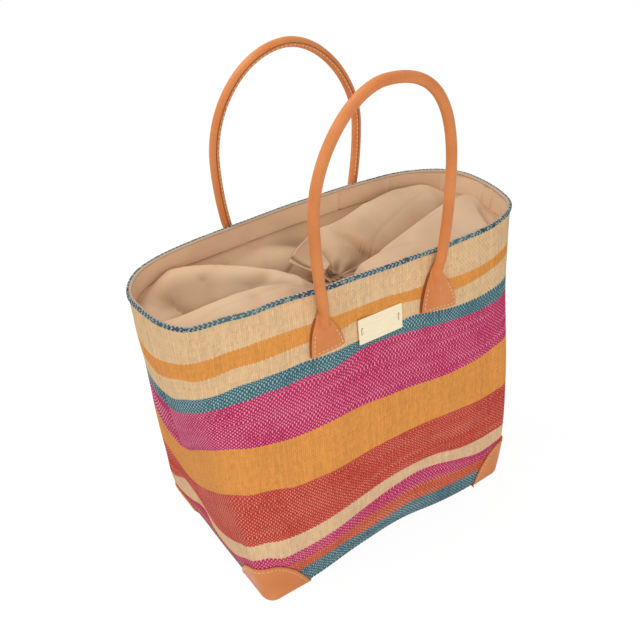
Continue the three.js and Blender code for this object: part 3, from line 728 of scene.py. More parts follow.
def makeLining(name, signY, node):
    mesh = bmesh.new()
    bmesh.ops.create_grid(mesh, x_segments=96, y_segments=40, size=1)
    for vertex in mesh.verts:
        share, rise = (vertex.co.x + 1) / 2, (vertex.co.y + 1) / 2
        signX, quarter = halfLap(share)
        x = wallAt(quarter, 0.004)[0]
        z = mix(lining["bottom"] + bagForm["lift"] * archAt(x), lining["top"], rise)
        out = lining["out"] - 0.0004 * abs(wobble(share * 30, rise * 8, 0, 1))
        vertex.co = wallPoint(signX, signY, quarter, z, out)
        vertex.co.y = signY * max(signY * vertex.co.y, lining["seamGap"])
    bmesh.ops.recalc_face_normals(mesh, faces=mesh.faces)
    wall = toObject(mesh, name, "bag", [cotton])
    addModifier(wall, "SOLIDIFY", thickness=lining["thickness"], offset=0)
    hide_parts(node)


makeLining("lining_front", -1, "lining_front_wall")
makeLining("lining_back", 1, "lining_back_wall")


def makeFloor(name, node, material, bottom, thickness, inset, weave):
    mesh = bmesh.new()
    bmesh.ops.create_grid(mesh, x_segments=120, y_segments=80, size=1)
    layer = mesh.verts.layers.float_vector.new("cloth")
    for vertex in mesh.verts:
        across, along = vertex.co.x, vertex.co.y
        z = bottom + bagForm["lift"] * archAt(across * 0.145)
        edge = longWall(-1, across * 0.1449 * (1 - 0.035 * along ** 8), z, -inset)
        height = bottom + bagForm["lift"] * archAt(edge.x) + thickness / 2
        vertex.co = Vector((edge.x, -edge.y * along, height))
        vertex[layer] = (vertex.co.x + 0.3, 0.060 + 0.004 * math.sin(along * 3), 0)
        if weave:
            vertex[layer] = (vertex.co.x + 0.3, mix(0.0, 0.020, (along + 1) / 2) * 9.0 % 0.020, 0)
    bmesh.ops.recalc_face_normals(mesh, faces=mesh.faces)
    panel = toObject(mesh, name, "bag", [material])
    addModifier(panel, "SOLIDIFY", thickness=thickness, offset=0)
    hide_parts(node)


makeFloor("base_cloth", "raffia_base_panel", raffia, 0.0019, 0.0014, 0.0026, True)
makeFloor("lining_base", "lining_floor", cotton, 0.0038, 0.0007, 0.0036, False)
print("lining and base made")


# ---- braided binding over the rim
binding = {"drop": 0.0036, "innerDrop": 0.0018, "pitch": 0.0020, "outer": 0.0010, "inner": -0.0035,
           "strand": (0.00135, 0.00056, 0.00045), "slant": 40.0, "group": 12, "tape": (104, 128, 134),
           "lip": (206, 176, 146), "dark": [(66, 104, 118), (48, 64, 92), (84, 124, 128)],
           "pale": [(172, 190, 182), (206, 202, 184)]}


def bindingMaterial():
    n = Nodes("binding")
    tint = n.add("Attribute", attribute_name="tint").outputs["Color"]
    place = n.objectSpace()
    fibre = n.grain(place, 1200.0, 2.0, 0.6)
    shade = n.blend(n.times(n.span(fibre, 0.35, 0.75), 0.30), tint, srgb(80, 92, 110))
    n.relief(fibre, 0.0002, 0.6)
    return n.finish(Base_Color=shade, Roughness=0.75, Specular_IOR_Level=0.3)


bindingYarn = bindingMaterial()


def bindingTape():
    outer, inner, drop, innerDrop = (binding[key] for key in ("outer", "inner", "drop", "innerDrop"))
    # out from the raffia and down from the rim, up the outside and back down the inside
    profile = [(outer - 0.0003, -drop), (outer, 0.0004 - drop), (outer, -0.0022), (outer - 0.0002, -0.0009),
               (outer - 0.0010, -0.0001), (-0.0006, 0.0), (-0.0010, -0.0003), (inner + 0.0012, -0.0004),
               (inner + 0.0002, -0.0009), (inner, -innerDrop), (inner + 0.0009, -innerDrop),
               (inner + 0.0010, -0.0011), (-0.0013, -0.0010), (outer - 0.0010, -0.0011),
               (outer - 0.0010, -drop)]

    def place(share, rise):
        out, down = profile[round(rise * len(profile)) % len(profile)]
        signY, half = fullLap(share)
        return lapSpot(share, rimTop(signY, half) + down, out), 1.0 if out < -0.0009 else 0.0
    mesh = ringBand(320, len(profile), place, "inside")
    tint = mesh.verts.layers.float_color.new("tint")
    inside = mesh.verts.layers.float["inside"]
    for vertex in mesh.verts:
        vertex[tint] = srgb(*binding["lip" if vertex[inside] > 0.5 else "tape"])
    bmesh.ops.recalc_face_normals(mesh, faces=mesh.faces)
    return mesh


def strandGroup(first, count, picks):
    # three rows of slanted strands, dark and pale by turns, that meet in chevrons
    mesh = bmesh.new()
    tint = mesh.verts.layers.float_color.new("tint")
    long, wide, high = binding["strand"]
    for index in range(first, min(first + binding["group"], count)):
        tone = noise.noise(Vector((index * 0.03, 4.0, 0)))
        for row in range(3):
            share = (index + 0.5 * (row % 2)) / count
            signY, half = fullLap(share)
            top = rimTop(signY, half)
            height = (top - 0.0026, top - 0.0011, top + 0.0001)[row]
            out = -0.0001 if row == 2 else binding["outer"]
            spot = lapSpot(share, height, out)
            along = (lapSpot(share + 0.002, height, out) - spot).normalized()
            outward = Vector((0, 0, 1))
            if row != 2:
                outward = (lapSpot(share, height, out + 0.01) - spot).normalized()
            side = outward.cross(along).normalized()
            turn = Matrix.Rotation(math.radians(binding["slant"] * (1 if row % 2 else -1)), 3, outward)
            shape = Matrix((turn @ along * long, turn @ side * wide, outward * high)).transposed().to_4x4()
            made = bmesh.ops.create_uvsphere(mesh, u_segments=6, v_segments=4, radius=1.0)["verts"]
            bmesh.ops.transform(mesh, matrix=Matrix.Translation(spot) @ shape, verts=made)
            paleShare = 0.86 if index % 2 else 0.12
            if picks.random() < paleShare:
                colour = binding["pale"][picks.random() < 0.35]
            else:
                colour = binding["dark"][1 if tone > 0.10 else 2 if tone < -0.22 else 0]
            for vertex in made:
                vertex[tint] = srgb(*colour)
    bmesh.ops.recalc_face_normals(mesh, faces=mesh.faces)
    return mesh


def makeBinding():
    mesh = bindingTape()
    picks = random.Random(3)
    count = round(0.925 / binding["pitch"])
    held = bpy.data.meshes.new("strands")
    for first in range(0, count, binding["group"]):
        group = strandGroup(first, count, picks)
        group.to_mesh(held)
        group.free()
        mesh.from_mesh(held)
    bpy.data.meshes.remove(held)
    ring = toObject(mesh, "rim_braid", "bag", [bindingYarn])
    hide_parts("rim_binding")


makeBinding()
print("binding made")


# ---- gathered cotton closure
closure = {
    "neck": (-0.003, -0.005, 0.2585), "neckRadius": 0.0071, "seam": 0.2752, "floor": 259.0,
    "thickness": 0.0008, "columns": 420, "rows": 110, "seamHeight": 275.0, "seamOut": -0.00285,
    # how softly folds run together, in millimetres, in height and in painted shade
    "softness": 0.7, "shadeSoftness": 1.6,
    # folds of the slack cloth, in millimetres: crest points, slope and bend of the near side, slope of
    # the far side, roundness, how wide the crest is flat towards the front, the painted shade on the
    # near side and its reach, and how dark the painted shade in its valleys is
    "folds": [
        {"crest": [(-186, 50, 274), (-163, 62, 276), (-150, 65, 279), (-137, 64, 282), (-121, 56, 285),
                   (-100, 39, 287), (-80, 20, 287), (-60, 2, 285), (-44, -12, 279), (-32, -15, 268),
                   (-14, -10, 260)],
         "near": 0.10, "bend": 0.0062, "far": 1.25, "round": 4, "flat": 2,
         "shade": 0.38, "reach": 24, "cleftShade": 0.6},
        {"crest": [(-186, -6, 279), (-166, -7, 281), (-136, -9.5, 284), (-106, -11, 285), (-84, -14, 285),
                   (-63, -19, 282), (-45, -22, 275), (-34, -20, 268), (-14, -12, 260)],
         "near": 0.06, "bend": 0.0010, "far": 1.2, "round": 3, "flat": 3,
         "shade": 0.05, "reach": 20, "cleftShade": 1.0},
        {"crest": [(4, 6, 262), (12, 26, 274), (23, 46, 282), (44, 43, 286), (75, 51, 288), (117, 57, 288),
                   (151, 52, 286), (163, 49, 281), (180, 44, 275)],
         "near": 0.10, "bend": 0.0075, "far": 1.2, "round": 3, "flat": 4,
         "shade": 0.22, "reach": 36, "cleftShade": 0.55},
        {"crest": [(-2, -16, 261), (8, -23, 268), (14, -24, 277), (30, -27, 283), (71, -16, 287),
                   (123, 0, 289), (146, 5, 290), (158, 6, 290), (168, 3, 288.5), (176, -3, 285),
                   (183, -11, 278)],
         "near": 0.05, "bend": 0.0008, "far": 1.9, "round": 2, "flat": 4,
         "shade": 0.02, "reach": 20, "cleftShade": 0.8},
        {"crest": [(-170, 74, 270), (-120, 83, 272), (-70, 76, 274), (-34, 62, 273), (-12, 40, 268),
                   (-4, 14, 260)],
         "near": 0.30, "bend": 0.0040, "far": 0.35, "round": 9, "flat": 6,
         "shade": 0.10, "reach": 34, "cleftShade": 0.7},
    ],
    # small soft dents: place, depth and reach in millimetres, and the painted shade for each millimetre of
    # depth
    "dents": [(-114, 33, 4.4, 5), (-72, 1, 6.0, 7), (-82, 4, 5.0, 8), (-90, 12, 3.0, 9), (60, 30, 1.6, 16),
              (104, -28, 1.4, 18), (-140, 34, 1.4, 14), (140, -18, -1.2, 16), (-95, -24, 1.6, 7),
              (-60, -33, 2.0, 7), (34, 36, 2.4, 11), (84, 64, 2.0, 9)],
    "dentShade": 0.060,
}


def crestAt(fold, x, y):
    # nearest point of the crest: distance to it, its height, and the share of the far side there
    best = None
    for (x0, y0, z0), (x1, y1, z1) in zip(fold["crest"], fold["crest"][1:]):
        dx, dy = x1 - x0, y1 - y0
        share = min(1.0, max(0.0, ((x - x0) * dx + (y - y0) * dy) / (dx * dx + dy * dy)))
        gap = math.hypot(x - x0 - dx * share, y - y0 - dy * share)
        if best is None or gap < best[0]:
            offset = ((y - y0) * dx - (x - x0) * dy) / math.hypot(dx, dy)
            best = (gap, mix(z0, z1, share), smooth(offset / max(gap, 0.01), -1, 1))
    return best


def closureHeight(x, y, inward):
    # height of the cloth, and the painted shade there
    levels = [(mix(closure["seamHeight"], closure["floor"], smooth(inward, 0.0, 0.40)), 0.12, 1.0)]
    for fold in closure["folds"]:
        gap, crest, behind = crestAt(fold, x, y)
        wide = fold["round"] + fold["flat"] * (1 - behind)
        drop = mix(fold["near"], fold["far"], behind) * (math.sqrt(gap * gap + wide * wide) - wide)
        drop += fold["bend"] * gap * gap * (1 - behind)
        flankShade = fold["shade"] * (1 - behind) * smooth(gap, 3, fold["reach"])
        levels.append((crest - drop, flankShade, fold["cleftShade"]))
    levels.sort(reverse=True)
    (top, _, cleftShade), (second, _, otherCleftShade) = levels[:2]
    weights = [math.exp((level - top) / closure["shadeSoftness"]) for level, _, _ in levels]
    flankShade = sum(weight * tone for weight, (_, tone, _) in zip(weights, levels)) / sum(weights)
    soft = closure["softness"]
    height = top + soft * math.log(sum(math.exp((level - top) / soft) for level, _, _ in levels))
    for dentX, dentY, depth, reach in closure["dents"]:
        share = math.exp(-((x - dentX) ** 2 + (y - dentY) ** 2) / reach ** 2)
        height -= depth * share
        flankShade += closure["dentShade"] * max(0.0, depth) * share
    # painted shade: darker in the valleys between folds and the lower the cloth lies, on top of the near
    # sides' and dents' painted shade
    valley = math.exp(-((top - second) / 8) ** 2) * smooth(inward, 0.05, 0.2) * min(cleftShade, otherCleftShade)
    deep = smooth(284 - height, 0, 26)
    return height, 0.62 * valley * (0.25 + 0.75 * deep) + 0.10 * deep + flankShade


def closureSpot(share, inward):
    neckX, neckY, neckZ = closure["neck"]
    signY, half = fullLap(share)
    seam = lapSpot(share, closure["seam"] + waveAt(signY, half) * seamWave + 0.0008, closure["seamOut"])
    towards = Vector((seam.x - neckX, seam.y - neckY)).normalized()
    neck = Vector((neckX, neckY)) + towards * closure["neckRadius"]
    spot = Vector((seam.x, seam.y)).lerp(neck, inward)
    angle = math.atan2(towards.y, towards.x)
    height, paintedShade = closureHeight(spot.x * 1000, spot.y * 1000, inward)
    z = height / 1000
    # narrow pleats run together at the neck, with painted shade in their folds
    pleat = math.sin(angle * 15 + 2.5 * wobble(angle, 0, 0, 1.5))
    z += 0.0016 * pleat * smooth(inward, 0.80, 0.92) * (1 - smooth(inward, 0.97, 1.0))
    paintedShade += 0.16 * (1 - pleat) * smooth(inward, 0.80, 0.94)
    z += 0.0009 * wobble(angle * 2.6, inward * 1.2, 0, 1.6, 9) * smooth(inward, 0.02, 0.2)
    # pull creases, sunk a little and darkened with painted shade
    pull = 1 - smooth(abs(wobble(spot.x * 9 + spot.y * 14, spot.y * 26 - spot.x * 7, 0, 1.0, 5)), 0.0, 0.10)
    z -= 0.0006 * pull * smooth(inward, 0.02, 0.2)
    paintedShade += 0.05 * pull
    z += 0.0005 * wobble(spot.x, spot.y, 0, 60, 3) * smooth(inward, 0.0, 0.1)
    z += 0.0008 * math.exp(-((inward - 0.06) / 0.035) ** 2)
    z = mix(z, neckZ, smooth(inward, 0.88, 1.0))
    return Vector((spot.x, spot.y, mix(seam.z, z, smooth(inward, 0.0, 0.07)))), min(0.9, paintedShade)


def makeClosure():
    mesh = ringBand(closure["columns"], closure["rows"], closureSpot, "paintedShade")
    bmesh.ops.recalc_face_normals(mesh, faces=mesh.faces)
    inside = [vertex for vertex in mesh.verts if not vertex.is_boundary]
    for _ in range(4):
        bmesh.ops.smooth_vert(mesh, verts=inside, factor=0.5, use_axis_z=True)
    cloth = toObject(mesh, "closure_cloth", "bag", [closureCotton])
    addModifier(cloth, "SOLIDIFY", thickness=closure["thickness"], offset=0)
    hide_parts("closure_front_half", "closure_back_half")


makeClosure()
print("closure made")

# the casing's collar above the neck: a flattened tube that has flopped over to the back left
collarForm = {
    "waist": (-0.003, -0.005, 0.2590), "tipLeft": (-0.0425, 0.0060, 0.2850),
    "tipBack": (-0.0030, 0.0330, 0.2915),
    "waistRadius": 0.0066, "mouthGap": 0.0017, "columns": 200, "rows": 34, "thickness": 0.0008,
    "lobes": 9, "lobeDepth": 0.0016,
    # the rolled hem along the left side: where its groove lies across the flap, its width and depth
    "groove": (0.80, 0.085, 0.0040),
}


def makeCollar():
    waist, tipLeft, tipBack = (Vector(collarForm[key]) for key in ("waist", "tipLeft", "tipBack"))
    mouth = (tipLeft + tipBack) / 2
    reach = (tipLeft - tipBack) / 2
    face = (tipBack - waist).cross(tipLeft - waist).normalized()
    levelReach = Vector((reach.x, reach.y, 0)).normalized() * collarForm["waistRadius"]
    levelFace = Vector((0, 0, -1)).cross(levelReach).normalized()
    at, width, depth = collarForm["groove"]

    def place(share, rise):
        angle = 2 * math.pi * share
        across, above = math.cos(angle), math.sin(angle)
        opened = smooth(rise, 0.05, 1.15)
        side = levelReach.lerp(reach, opened)
        outward = levelFace.lerp(face, smooth(rise, 0.0, 0.35)).normalized()
        thick = mix(collarForm["waistRadius"], collarForm["mouthGap"], smooth(rise, 0.0, 0.75))
        lobe = collarForm["lobeDepth"] * math.sin(collarForm["lobes"] * angle + 2)
        lobe *= 1 - 0.95 * smooth(rise, 0.1, 0.7)
        fold = depth * math.exp(-((across - at) / width) ** 2)
        fold *= smooth(rise, 0.15, 0.5)
        fold *= max(0.0, above * 2) ** 0.5
        droop = 0.0030 * math.sin(math.pi * rise) * (1 - across * across)
        lip = 0.0012 * smooth(rise, 0.93, 1.0)
        uneven = 0.0009 * wobble(across * 2, rise * 3, 0, 1.2, 6)
        upwards = above * (thick + lobe + lip) - fold - droop + uneven
        edge = 1 + 0.04 * math.sin(across * 2.2 + 0.6) * rise
        spot = waist.lerp(mouth, rise * edge) + side * across * (1 + 0.4 * lobe / 0.003) + outward * upwards
        # painted shade: darker between the pleat lobes near the waist, in the hem's groove, low on the collar
        # and on its underside
        dark = 0.20 * (0.5 - lobe / 0.0032) * (1 - smooth(rise, 0.05, 0.6)) + 0.75 * min(1, fold / 0.0030)
        dark = dark + 0.30 * (1 - smooth(rise, 0.0, 0.3)) + (0.4 if above < -0.2 else 0)
        return spot, min(0.9, max(0.0, dark))
    mesh = ringBand(collarForm["columns"], collarForm["rows"], place, "paintedShade")
    bmesh.ops.recalc_face_normals(mesh, faces=mesh.faces)
    collar = toObject(mesh, "closure_collar", "bag", [closureCotton])
    addModifier(collar, "SOLIDIFY", thickness=collarForm["thickness"], offset=0)
    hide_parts("closure_ruffle")


makeCollar()
print("collar made")


# ---- leather handles, each one sheet: two flat tabs and the roll between them
handleForm = {
    "radius": 0.0047, "wall": 0.0015, "hinge": 0.283, "ridge": 0.0076,
    "tabOffset": 0.0022, "tabThickness": 0.0020, "neckHalf": 0.0060, "neckTop": 0.2815,
    "backingMargin": 0.0003, "slit": 0.055,
    "front": {"signY": -1, "middle": -0.006, "spacing": 0.119, "spread": 0.1354, "shoulder": 0.374,
              "top": 0.4677, "hingeY": 0.0843212, "roundness": (0.50, 0.68), "tabWidth": (0.0328, 0.040),
              "tabShift": (0.0038, 0.0044), "tabBottom": (0.2490, 0.2430), "ridgeEnd": (0.2690, 0.246),
              "ridgeTop": (0.2775, 0.279), "tabTilt": (0.08, -0.15)},
    "back": {"signY": 1, "middle": 0.011, "spacing": 0.139, "spread": 0.156, "shoulder": 0.358, "top": 0.4513,
             "hingeY": 0.0841706, "roundness": (0.55, 0.48), "tabWidth": (0.038, 0.038),
             "tabShift": (0.0, 0.0), "tabBottom": (0.2440, 0.2440), "ridgeEnd": (0.248, 0.248),
             "ridgeTop": (0.284, 0.284), "tabTilt": (0.0, 0.0)},
}


def bezier(points, share):
    a, b, c, d = points
    left = 1 - share
    place = a * left ** 3 + b * 3 * left ** 2 * share + c * 3 * left * share ** 2 + d * share ** 3
    slope = (b - a) * 3 * left ** 2 + (c - b) * 6 * left * share + (d - c) * 3 * share ** 2
    return place, slope.normalized()


def handlePath(handle, legSteps=22, archSteps=34):
    wide, legX = handle["spread"] / 2, handle["spacing"] / 2
    bottom, shoulder, top = handleForm["hinge"], handle["shoulder"], handle["top"]
    lean = (shoulder - bottom) / 3
    leanX = legX + (wide - legX) * 2 / 3
    low, high = bottom + lean, shoulder - lean
    leftRound, rightRound = handle["roundness"]
    leftHigh, rightHigh = mix(shoulder, top, leftRound), mix(shoulder, top, rightRound)

    def at(x, z):
        return Vector((handle["middle"] + x, handle["signY"] * handle["hingeY"], z))
    stretches = [
        ([at(-legX, bottom), at(-leanX, low), at(-wide, high), at(-wide, shoulder)], legSteps),
        ([at(-wide, shoulder), at(-wide, leftHigh), at(-wide * leftRound, top), at(0, top)], archSteps),
        ([at(0, top), at(wide * rightRound, top), at(wide, rightHigh), at(wide, shoulder)], archSteps),
        ([at(wide, shoulder), at(wide, high), at(leanX, low), at(legX, bottom)], legSteps),
    ]
    path = []
    for points, steps in stretches:
        for step in range(steps):
            path.append(bezier(points, step / steps))
    path.append(bezier(stretches[-1][0], 1.0))
    return path


acrossFront = [math.sin(math.pi / 2 * (2 * i / 26 - 1)) * 0.55 + (2 * i / 26 - 1) * 0.45 for i in range(27)]
acrossBack = [1 - 2 * i / 12 for i in range(13)]


def rollSection():
    # offsets from the roll's middle: x along the wall, y away from it
    def arc(steps, radius, slit):
        angles = [mix(-math.pi + slit, math.pi - slit, (t + 1) / 2) for t in steps]
        return [(math.sin(angle) * radius, math.cos(angle) * radius) for angle in angles]
    slit, radius = handleForm["slit"], handleForm["radius"]
    return arc(acrossFront, radius, slit) + arc(acrossBack, radius - handleForm["wall"], 1.3 * slit)


def ridgeAt(handle, side, x, z):
    # how far the roll stands out of the flat tab, x from the tab's middle
    end, top = handle["ridgeEnd"][side], handle["ridgeTop"][side]
    rise = smooth(z, end, top)
    halfWidth = mix(0.0072, 0.0049, smooth(z, end, 0.280))
    u = min(1.0, abs(x) / halfWidth)
    dome = math.sqrt(max(0.0, 1 - u * u))
    bell = 0.5 + 0.5 * math.cos(math.pi * u)
    return handleForm["ridge"] * rise * mix(bell, dome, 0.75 * rise)


def tabHalf(handle, side, z):
    top = handleForm["neckTop"]
    share = min(1, max(0, (top - z) / (top - handle["tabBottom"][side] - 0.001)))
    return mix(handleForm["neckHalf"], handle["tabWidth"][side] / 2, math.sin(math.pi / 2 * share))


def tabMiddle(handle, side, z):
    sign = -1 if side == 0 else 1
    shift = handle["tabShift"][side] * (1 - smooth(z, 0.250, 0.283))
    return handle["middle"] + sign * handle["spacing"] / 2 + shift


def tabLean(handle, side, x, z):
    # the lower edge runs along the slack stripes, so it isn't level; x from the tab's middle
    return z + handle["tabTilt"][side] * x * (1 - smooth(z, handle["tabBottom"][side], 0.270))


def tabRing(handle, side, z, inset=0.0, facingX=1):
    half = tabHalf(handle, side, z) - inset
    middle = tabMiddle(handle, side, z)
    face = handleForm["tabOffset"] + handleForm["tabThickness"] - inset
    ring = []
    for t in acrossFront:
        x = half * t * facingX
        edge = 0.0005 * smooth(abs(t), 0.93, 1.0)
        out = face - edge + ridgeAt(handle, side, x, z)
        ring.append(longWall(handle["signY"], middle + x, tabLean(handle, side, x, z), out))
    for t in acrossBack:
        x = half * t * facingX * 0.985
        height = tabLean(handle, side, x, z)
        ring.append(longWall(handle["signY"], middle + x, height, handleForm["tabOffset"] + inset))
    return ring


def pathRing(place, slope, signY):
    outward = Vector((0, signY, 0))
    side = slope.cross(outward).normalized()
    return [place + side * x + outward * y for x, y in rollSection()]


def loft(mesh, rings):
    first = bmesh.ops.create_circle(mesh, cap_ends=True, segments=len(rings[0]), radius=1)["verts"]
    for vertex, spot in zip(first, rings[0]):
        vertex.co = spot
    loop = list(first)
    for ring in rings[1:]:
        made = bmesh.ops.extrude_edge_only(mesh, edges=loopEdges(loop))["geom"]
        fresh = {item for item in made if isinstance(item, bmesh.types.BMVert)}
        following = []
        for vertex in loop:
            across = (edge.other_vert(vertex) for edge in vertex.link_edges)
            following.append(next(other for other in across if other in fresh))
        for vertex, spot in zip(following, ring):
            vertex.co = spot
        loop = following
    bmesh.ops.contextual_create(mesh, geom=loopEdges(loop))


def loopEdges(loop):
    return [next(edge for edge in a.link_edges if edge.other_vert(a) == b)
            for a, b in zip(loop, loop[1:] + loop[:1])]


def tabLevels(bottom):
    rounded = [bottom, bottom + 0.0003, bottom + 0.0010]
    return rounded + [mix(bottom + 0.0030, 0.2820, step / 16) for step in range(17)]


def makeHandle(name, label):
    handle = handleForm[label]
    signY = handle["signY"]
    path = handlePath(handle)
    leftSide = path[0][1].cross(Vector((0, signY, 0))).x
    leftFacing = 1 if leftSide > 0 else -1

    def tabRings(side, facingX):
        levels = enumerate(tabLevels(handle["tabBottom"][side]))
        return [tabRing(handle, side, z, (0.0006, 0.0002, 0)[min(index, 2)], facingX) for index, z in levels]
    roll = [pathRing(place, slope, signY) for place, slope in path]
    for end, facingX, side in ((1, leftFacing, 0), (-1, -leftFacing, 1)):
        ordered = roll if end == 1 else roll[::-1]
        for index in range(7):
            z = (path if end == 1 else path[::-1])[index][0].z
            flat = tabRing(handle, side, z, 0.0, facingX)
            share = 1 - smooth(z, 0.2825, 0.2965)
            ordered[index][:] = [a.lerp(b, share * 0.999) for a, b in zip(ordered[index], flat)]
    mesh = bmesh.new()
    loft(mesh, tabRings(0, leftFacing) + roll + tabRings(1, -leftFacing)[::-1])
    bmesh.ops.recalc_face_normals(mesh, faces=mesh.faces)
    piece = toObject(mesh, name, None, [leather])
    addModifier(piece, "SUBSURF", levels=1, render_levels=1)
    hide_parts(f"handle_cover_{label}", f"handle_tab_{label}_left", f"handle_tab_{label}_right")
    hinge = (handle["middle"], signY * handle["hingeY"], 0.268)
    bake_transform(piece, "bag", f"handle_{label}", start=hinge, end=(hinge[0], hinge[1], 0.298))
    return path


paths = {"front": makeHandle("front_handle", "front"), "back": makeHandle("back_handle", "back")}
print("handles made")


# ---- backing layers and corner patches
def makeBacking(label, side, sideName):
    handle = handleForm[label]
    margin, bottom = handleForm["backingMargin"], handle["tabBottom"][side]
    mesh = bmesh.new()
    bmesh.ops.create_grid(mesh, x_segments=16, y_segments=26, size=1)
    for vertex in mesh.verts:
        across, rise = vertex.co.x, (vertex.co.y + 1) / 2
        z = mix(bottom - margin, 0.2810, rise)
        half = tabHalf(handle, side, max(z, bottom)) + margin
        x = across * half
        middle = tabMiddle(handle, side, z)
        vertex.co = longWall(handle["signY"], middle + x, tabLean(handle, side, x, z), 0.0011)
    bmesh.ops.recalc_face_normals(mesh, faces=mesh.faces)
    piece = toObject(mesh, f"{label}_{sideName}_backing", "bag", [backingLeather])
    addModifier(piece, "SOLIDIFY", thickness=0.0016, offset=0)
    addModifier(piece, "BEVEL", width=0.0003, segments=2, limit_method="ANGLE")
    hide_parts(f"tab_backing_{label}_{sideName}")


for label in ("front", "back"):
    for side, sideName in enumerate(("left", "right")):
        makeBacking(label, side, sideName)

# reach along the front for the left and the right corners, reach along the end
patchForm = {"alongFront": {-1: 0.048, 1: 0.040}, "alongEnd": 0.050, "arch": 0.054, "out": 0.0011,
             "thickness": 0.0016, "corner": (0.147, 0.095), "stitchInset": 0.003}


def patchTop(signX, signY, x, y, inset=0.0):
    cornerX, cornerY = patchForm["corner"]
    frontWay = (abs(x) - cornerX) / (patchForm["alongFront"][signX] - inset)
    endWay = (abs(y) - cornerY) / (patchForm["alongEnd"] - inset)
    reach = max(0.0, 1 - frontWay ** 2 - endWay ** 2)
    tucked = smooth(abs(x), 0.130, cornerX) * 0.75 if signX < 0 < signY else 0.0
    return (1 - tucked) * (-0.008 + (patchForm["arch"] - inset) * reach ** 0.8)


def patchSpan(signX, signY, inset=0.0):
    covered = [step / 400 for step in range(400)
               if patchTop(signX, signY, *wallAt(step / 400, 0.0)[:2], inset) > 0.0002]
    return covered[0], covered[-1]


def makePatch(signX, signY, name, node):
    mesh = bmesh.new()
    bmesh.ops.create_grid(mesh, x_segments=60, y_segments=36, size=1)
    lowQuarter, highQuarter = patchSpan(signX, signY)
    cornerX, cornerY = patchForm["corner"]
    hubX, hubY = patchForm["alongFront"][signX] - 0.001, patchForm["alongEnd"] - 0.001
    for vertex in mesh.verts:
        along, rise = (vertex.co.x + 1) / 2, vertex.co.y
        quarter = mix(lowQuarter, highQuarter, along)
        x, y = wallAt(quarter, 0.0)[:2]
        top = max(0.0, patchTop(signX, signY, x, y))
        if rise >= 0:
            z = mix(0.0008, max(0.0012, top), rise)
            fold = 1 - smooth(z, 0.0008, 0.0030)
            vertex.co = wallPoint(signX, signY, quarter, z, patchForm["out"] - 0.0007 * fold)
            vertex.co.z = z
        else:
            edge = wallPoint(signX, signY, quarter, 0.0008, patchForm["out"] - 0.0007)
            turn = along * math.pi / 2
            inX, inY = hubX * math.sin(turn), hubY * math.cos(turn)
            hub = Vector((signX * (cornerX - inX), signY * (cornerY - inY)))
            point = Vector((edge.x, edge.y)).lerp(hub, -rise)
            vertex.co = Vector((point.x, point.y, 0.0008))
    bmesh.ops.recalc_face_normals(mesh, faces=mesh.faces)
    piece = toObject(mesh, name, "bag", [leather])
    addModifier(piece, "SOLIDIFY", thickness=patchForm["thickness"], offset=0)
    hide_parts(node)


for signX, sideName in ((-1, "left"), (1, "right")):
    for signY, faceName in ((-1, "front"), (1, "back")):
        makePatch(signX, signY, f"{faceName}_{sideName}_patch", f"corner_patch_{faceName}_{sideName}")
print("leather patches made")


# ---- stitches
stitch = {"long": 0.00150, "wide": 0.00045, "high": 0.00032, "pitch": 0.0041, "inset": 0.0027,
          "tabTop": 0.2670, "rollStart": 0.302}


def sewAlong(name, body, spots):
    # one thread bead for each step along the spots, which hold a place and the way out of the surface
    mesh = bmesh.new()
    travelled = stitch["pitch"]
    for (place, outward), (ahead, _) in zip(spots, spots[1:]):
        travelled += (ahead - place).length
        if travelled < stitch["pitch"]:
            continue
        travelled = 0.0
        along = (ahead - place).normalized()
        side = outward.cross(along).normalized()
        out = along.cross(side).normalized()
        axes = (along * stitch["long"], side * stitch["wide"], out * stitch["high"])
        shape = Matrix(axes).transposed().to_4x4()
        made = bmesh.ops.create_uvsphere(mesh, u_segments=8, v_segments=6, radius=1.0)["verts"]
        bmesh.ops.transform(mesh, matrix=Matrix.Translation(place) @ shape, verts=made)
    bmesh.ops.recalc_face_normals(mesh, faces=mesh.faces)
    row = toObject(mesh, name, body, [thread])


def wallSpot(place, further):
    return place, (further - place).normalized()


def sewTab(label, side, sideName):
    handle = handleForm[label]
    face = handleForm["tabOffset"] + handleForm["tabThickness"] + 0.0001
    inset, high = stitch["inset"], stitch["tabTop"]
    low = handle["tabBottom"][side] + inset
    route = [(-1, mix(high, low, step / 60)) for step in range(60)]
    route += [(2 * step / 80 - 1, low) for step in range(80)]
    route += [(1, mix(low, high, step / 60)) for step in range(61)]
    spots = []
    for across, z in route:
        x = across * (tabHalf(handle, side, z) - inset)
        out = face + ridgeAt(handle, side, x, z)
        x, z = x + tabMiddle(handle, side, z), tabLean(handle, side, x, z)
        spots.append(wallSpot(longWall(handle["signY"], x, z, out),
                              longWall(handle["signY"], x, z, out + 0.003)))
    sewAlong(f"{label}_{sideName}_tab_stitches", "bag", spots)


def sewPatch(signX, signY, name):
    inset = patchForm["stitchInset"]
    low, high = patchSpan(signX, signY, inset)
    spots = []
    for step in range(300):
        quarter = mix(low, high, step / 299)
        z = max(0.0018, patchTop(signX, signY, *wallAt(quarter, 0.0)[:2], inset))
        out = patchForm["out"] + patchForm["thickness"] / 2 + 0.0001
        spots.append(wallSpot(wallPoint(signX, signY, quarter, z, out),
                              wallPoint(signX, signY, quarter, z, out + 0.003)))
    sewAlong(f"{name}_patch_stitches", "bag", spots)


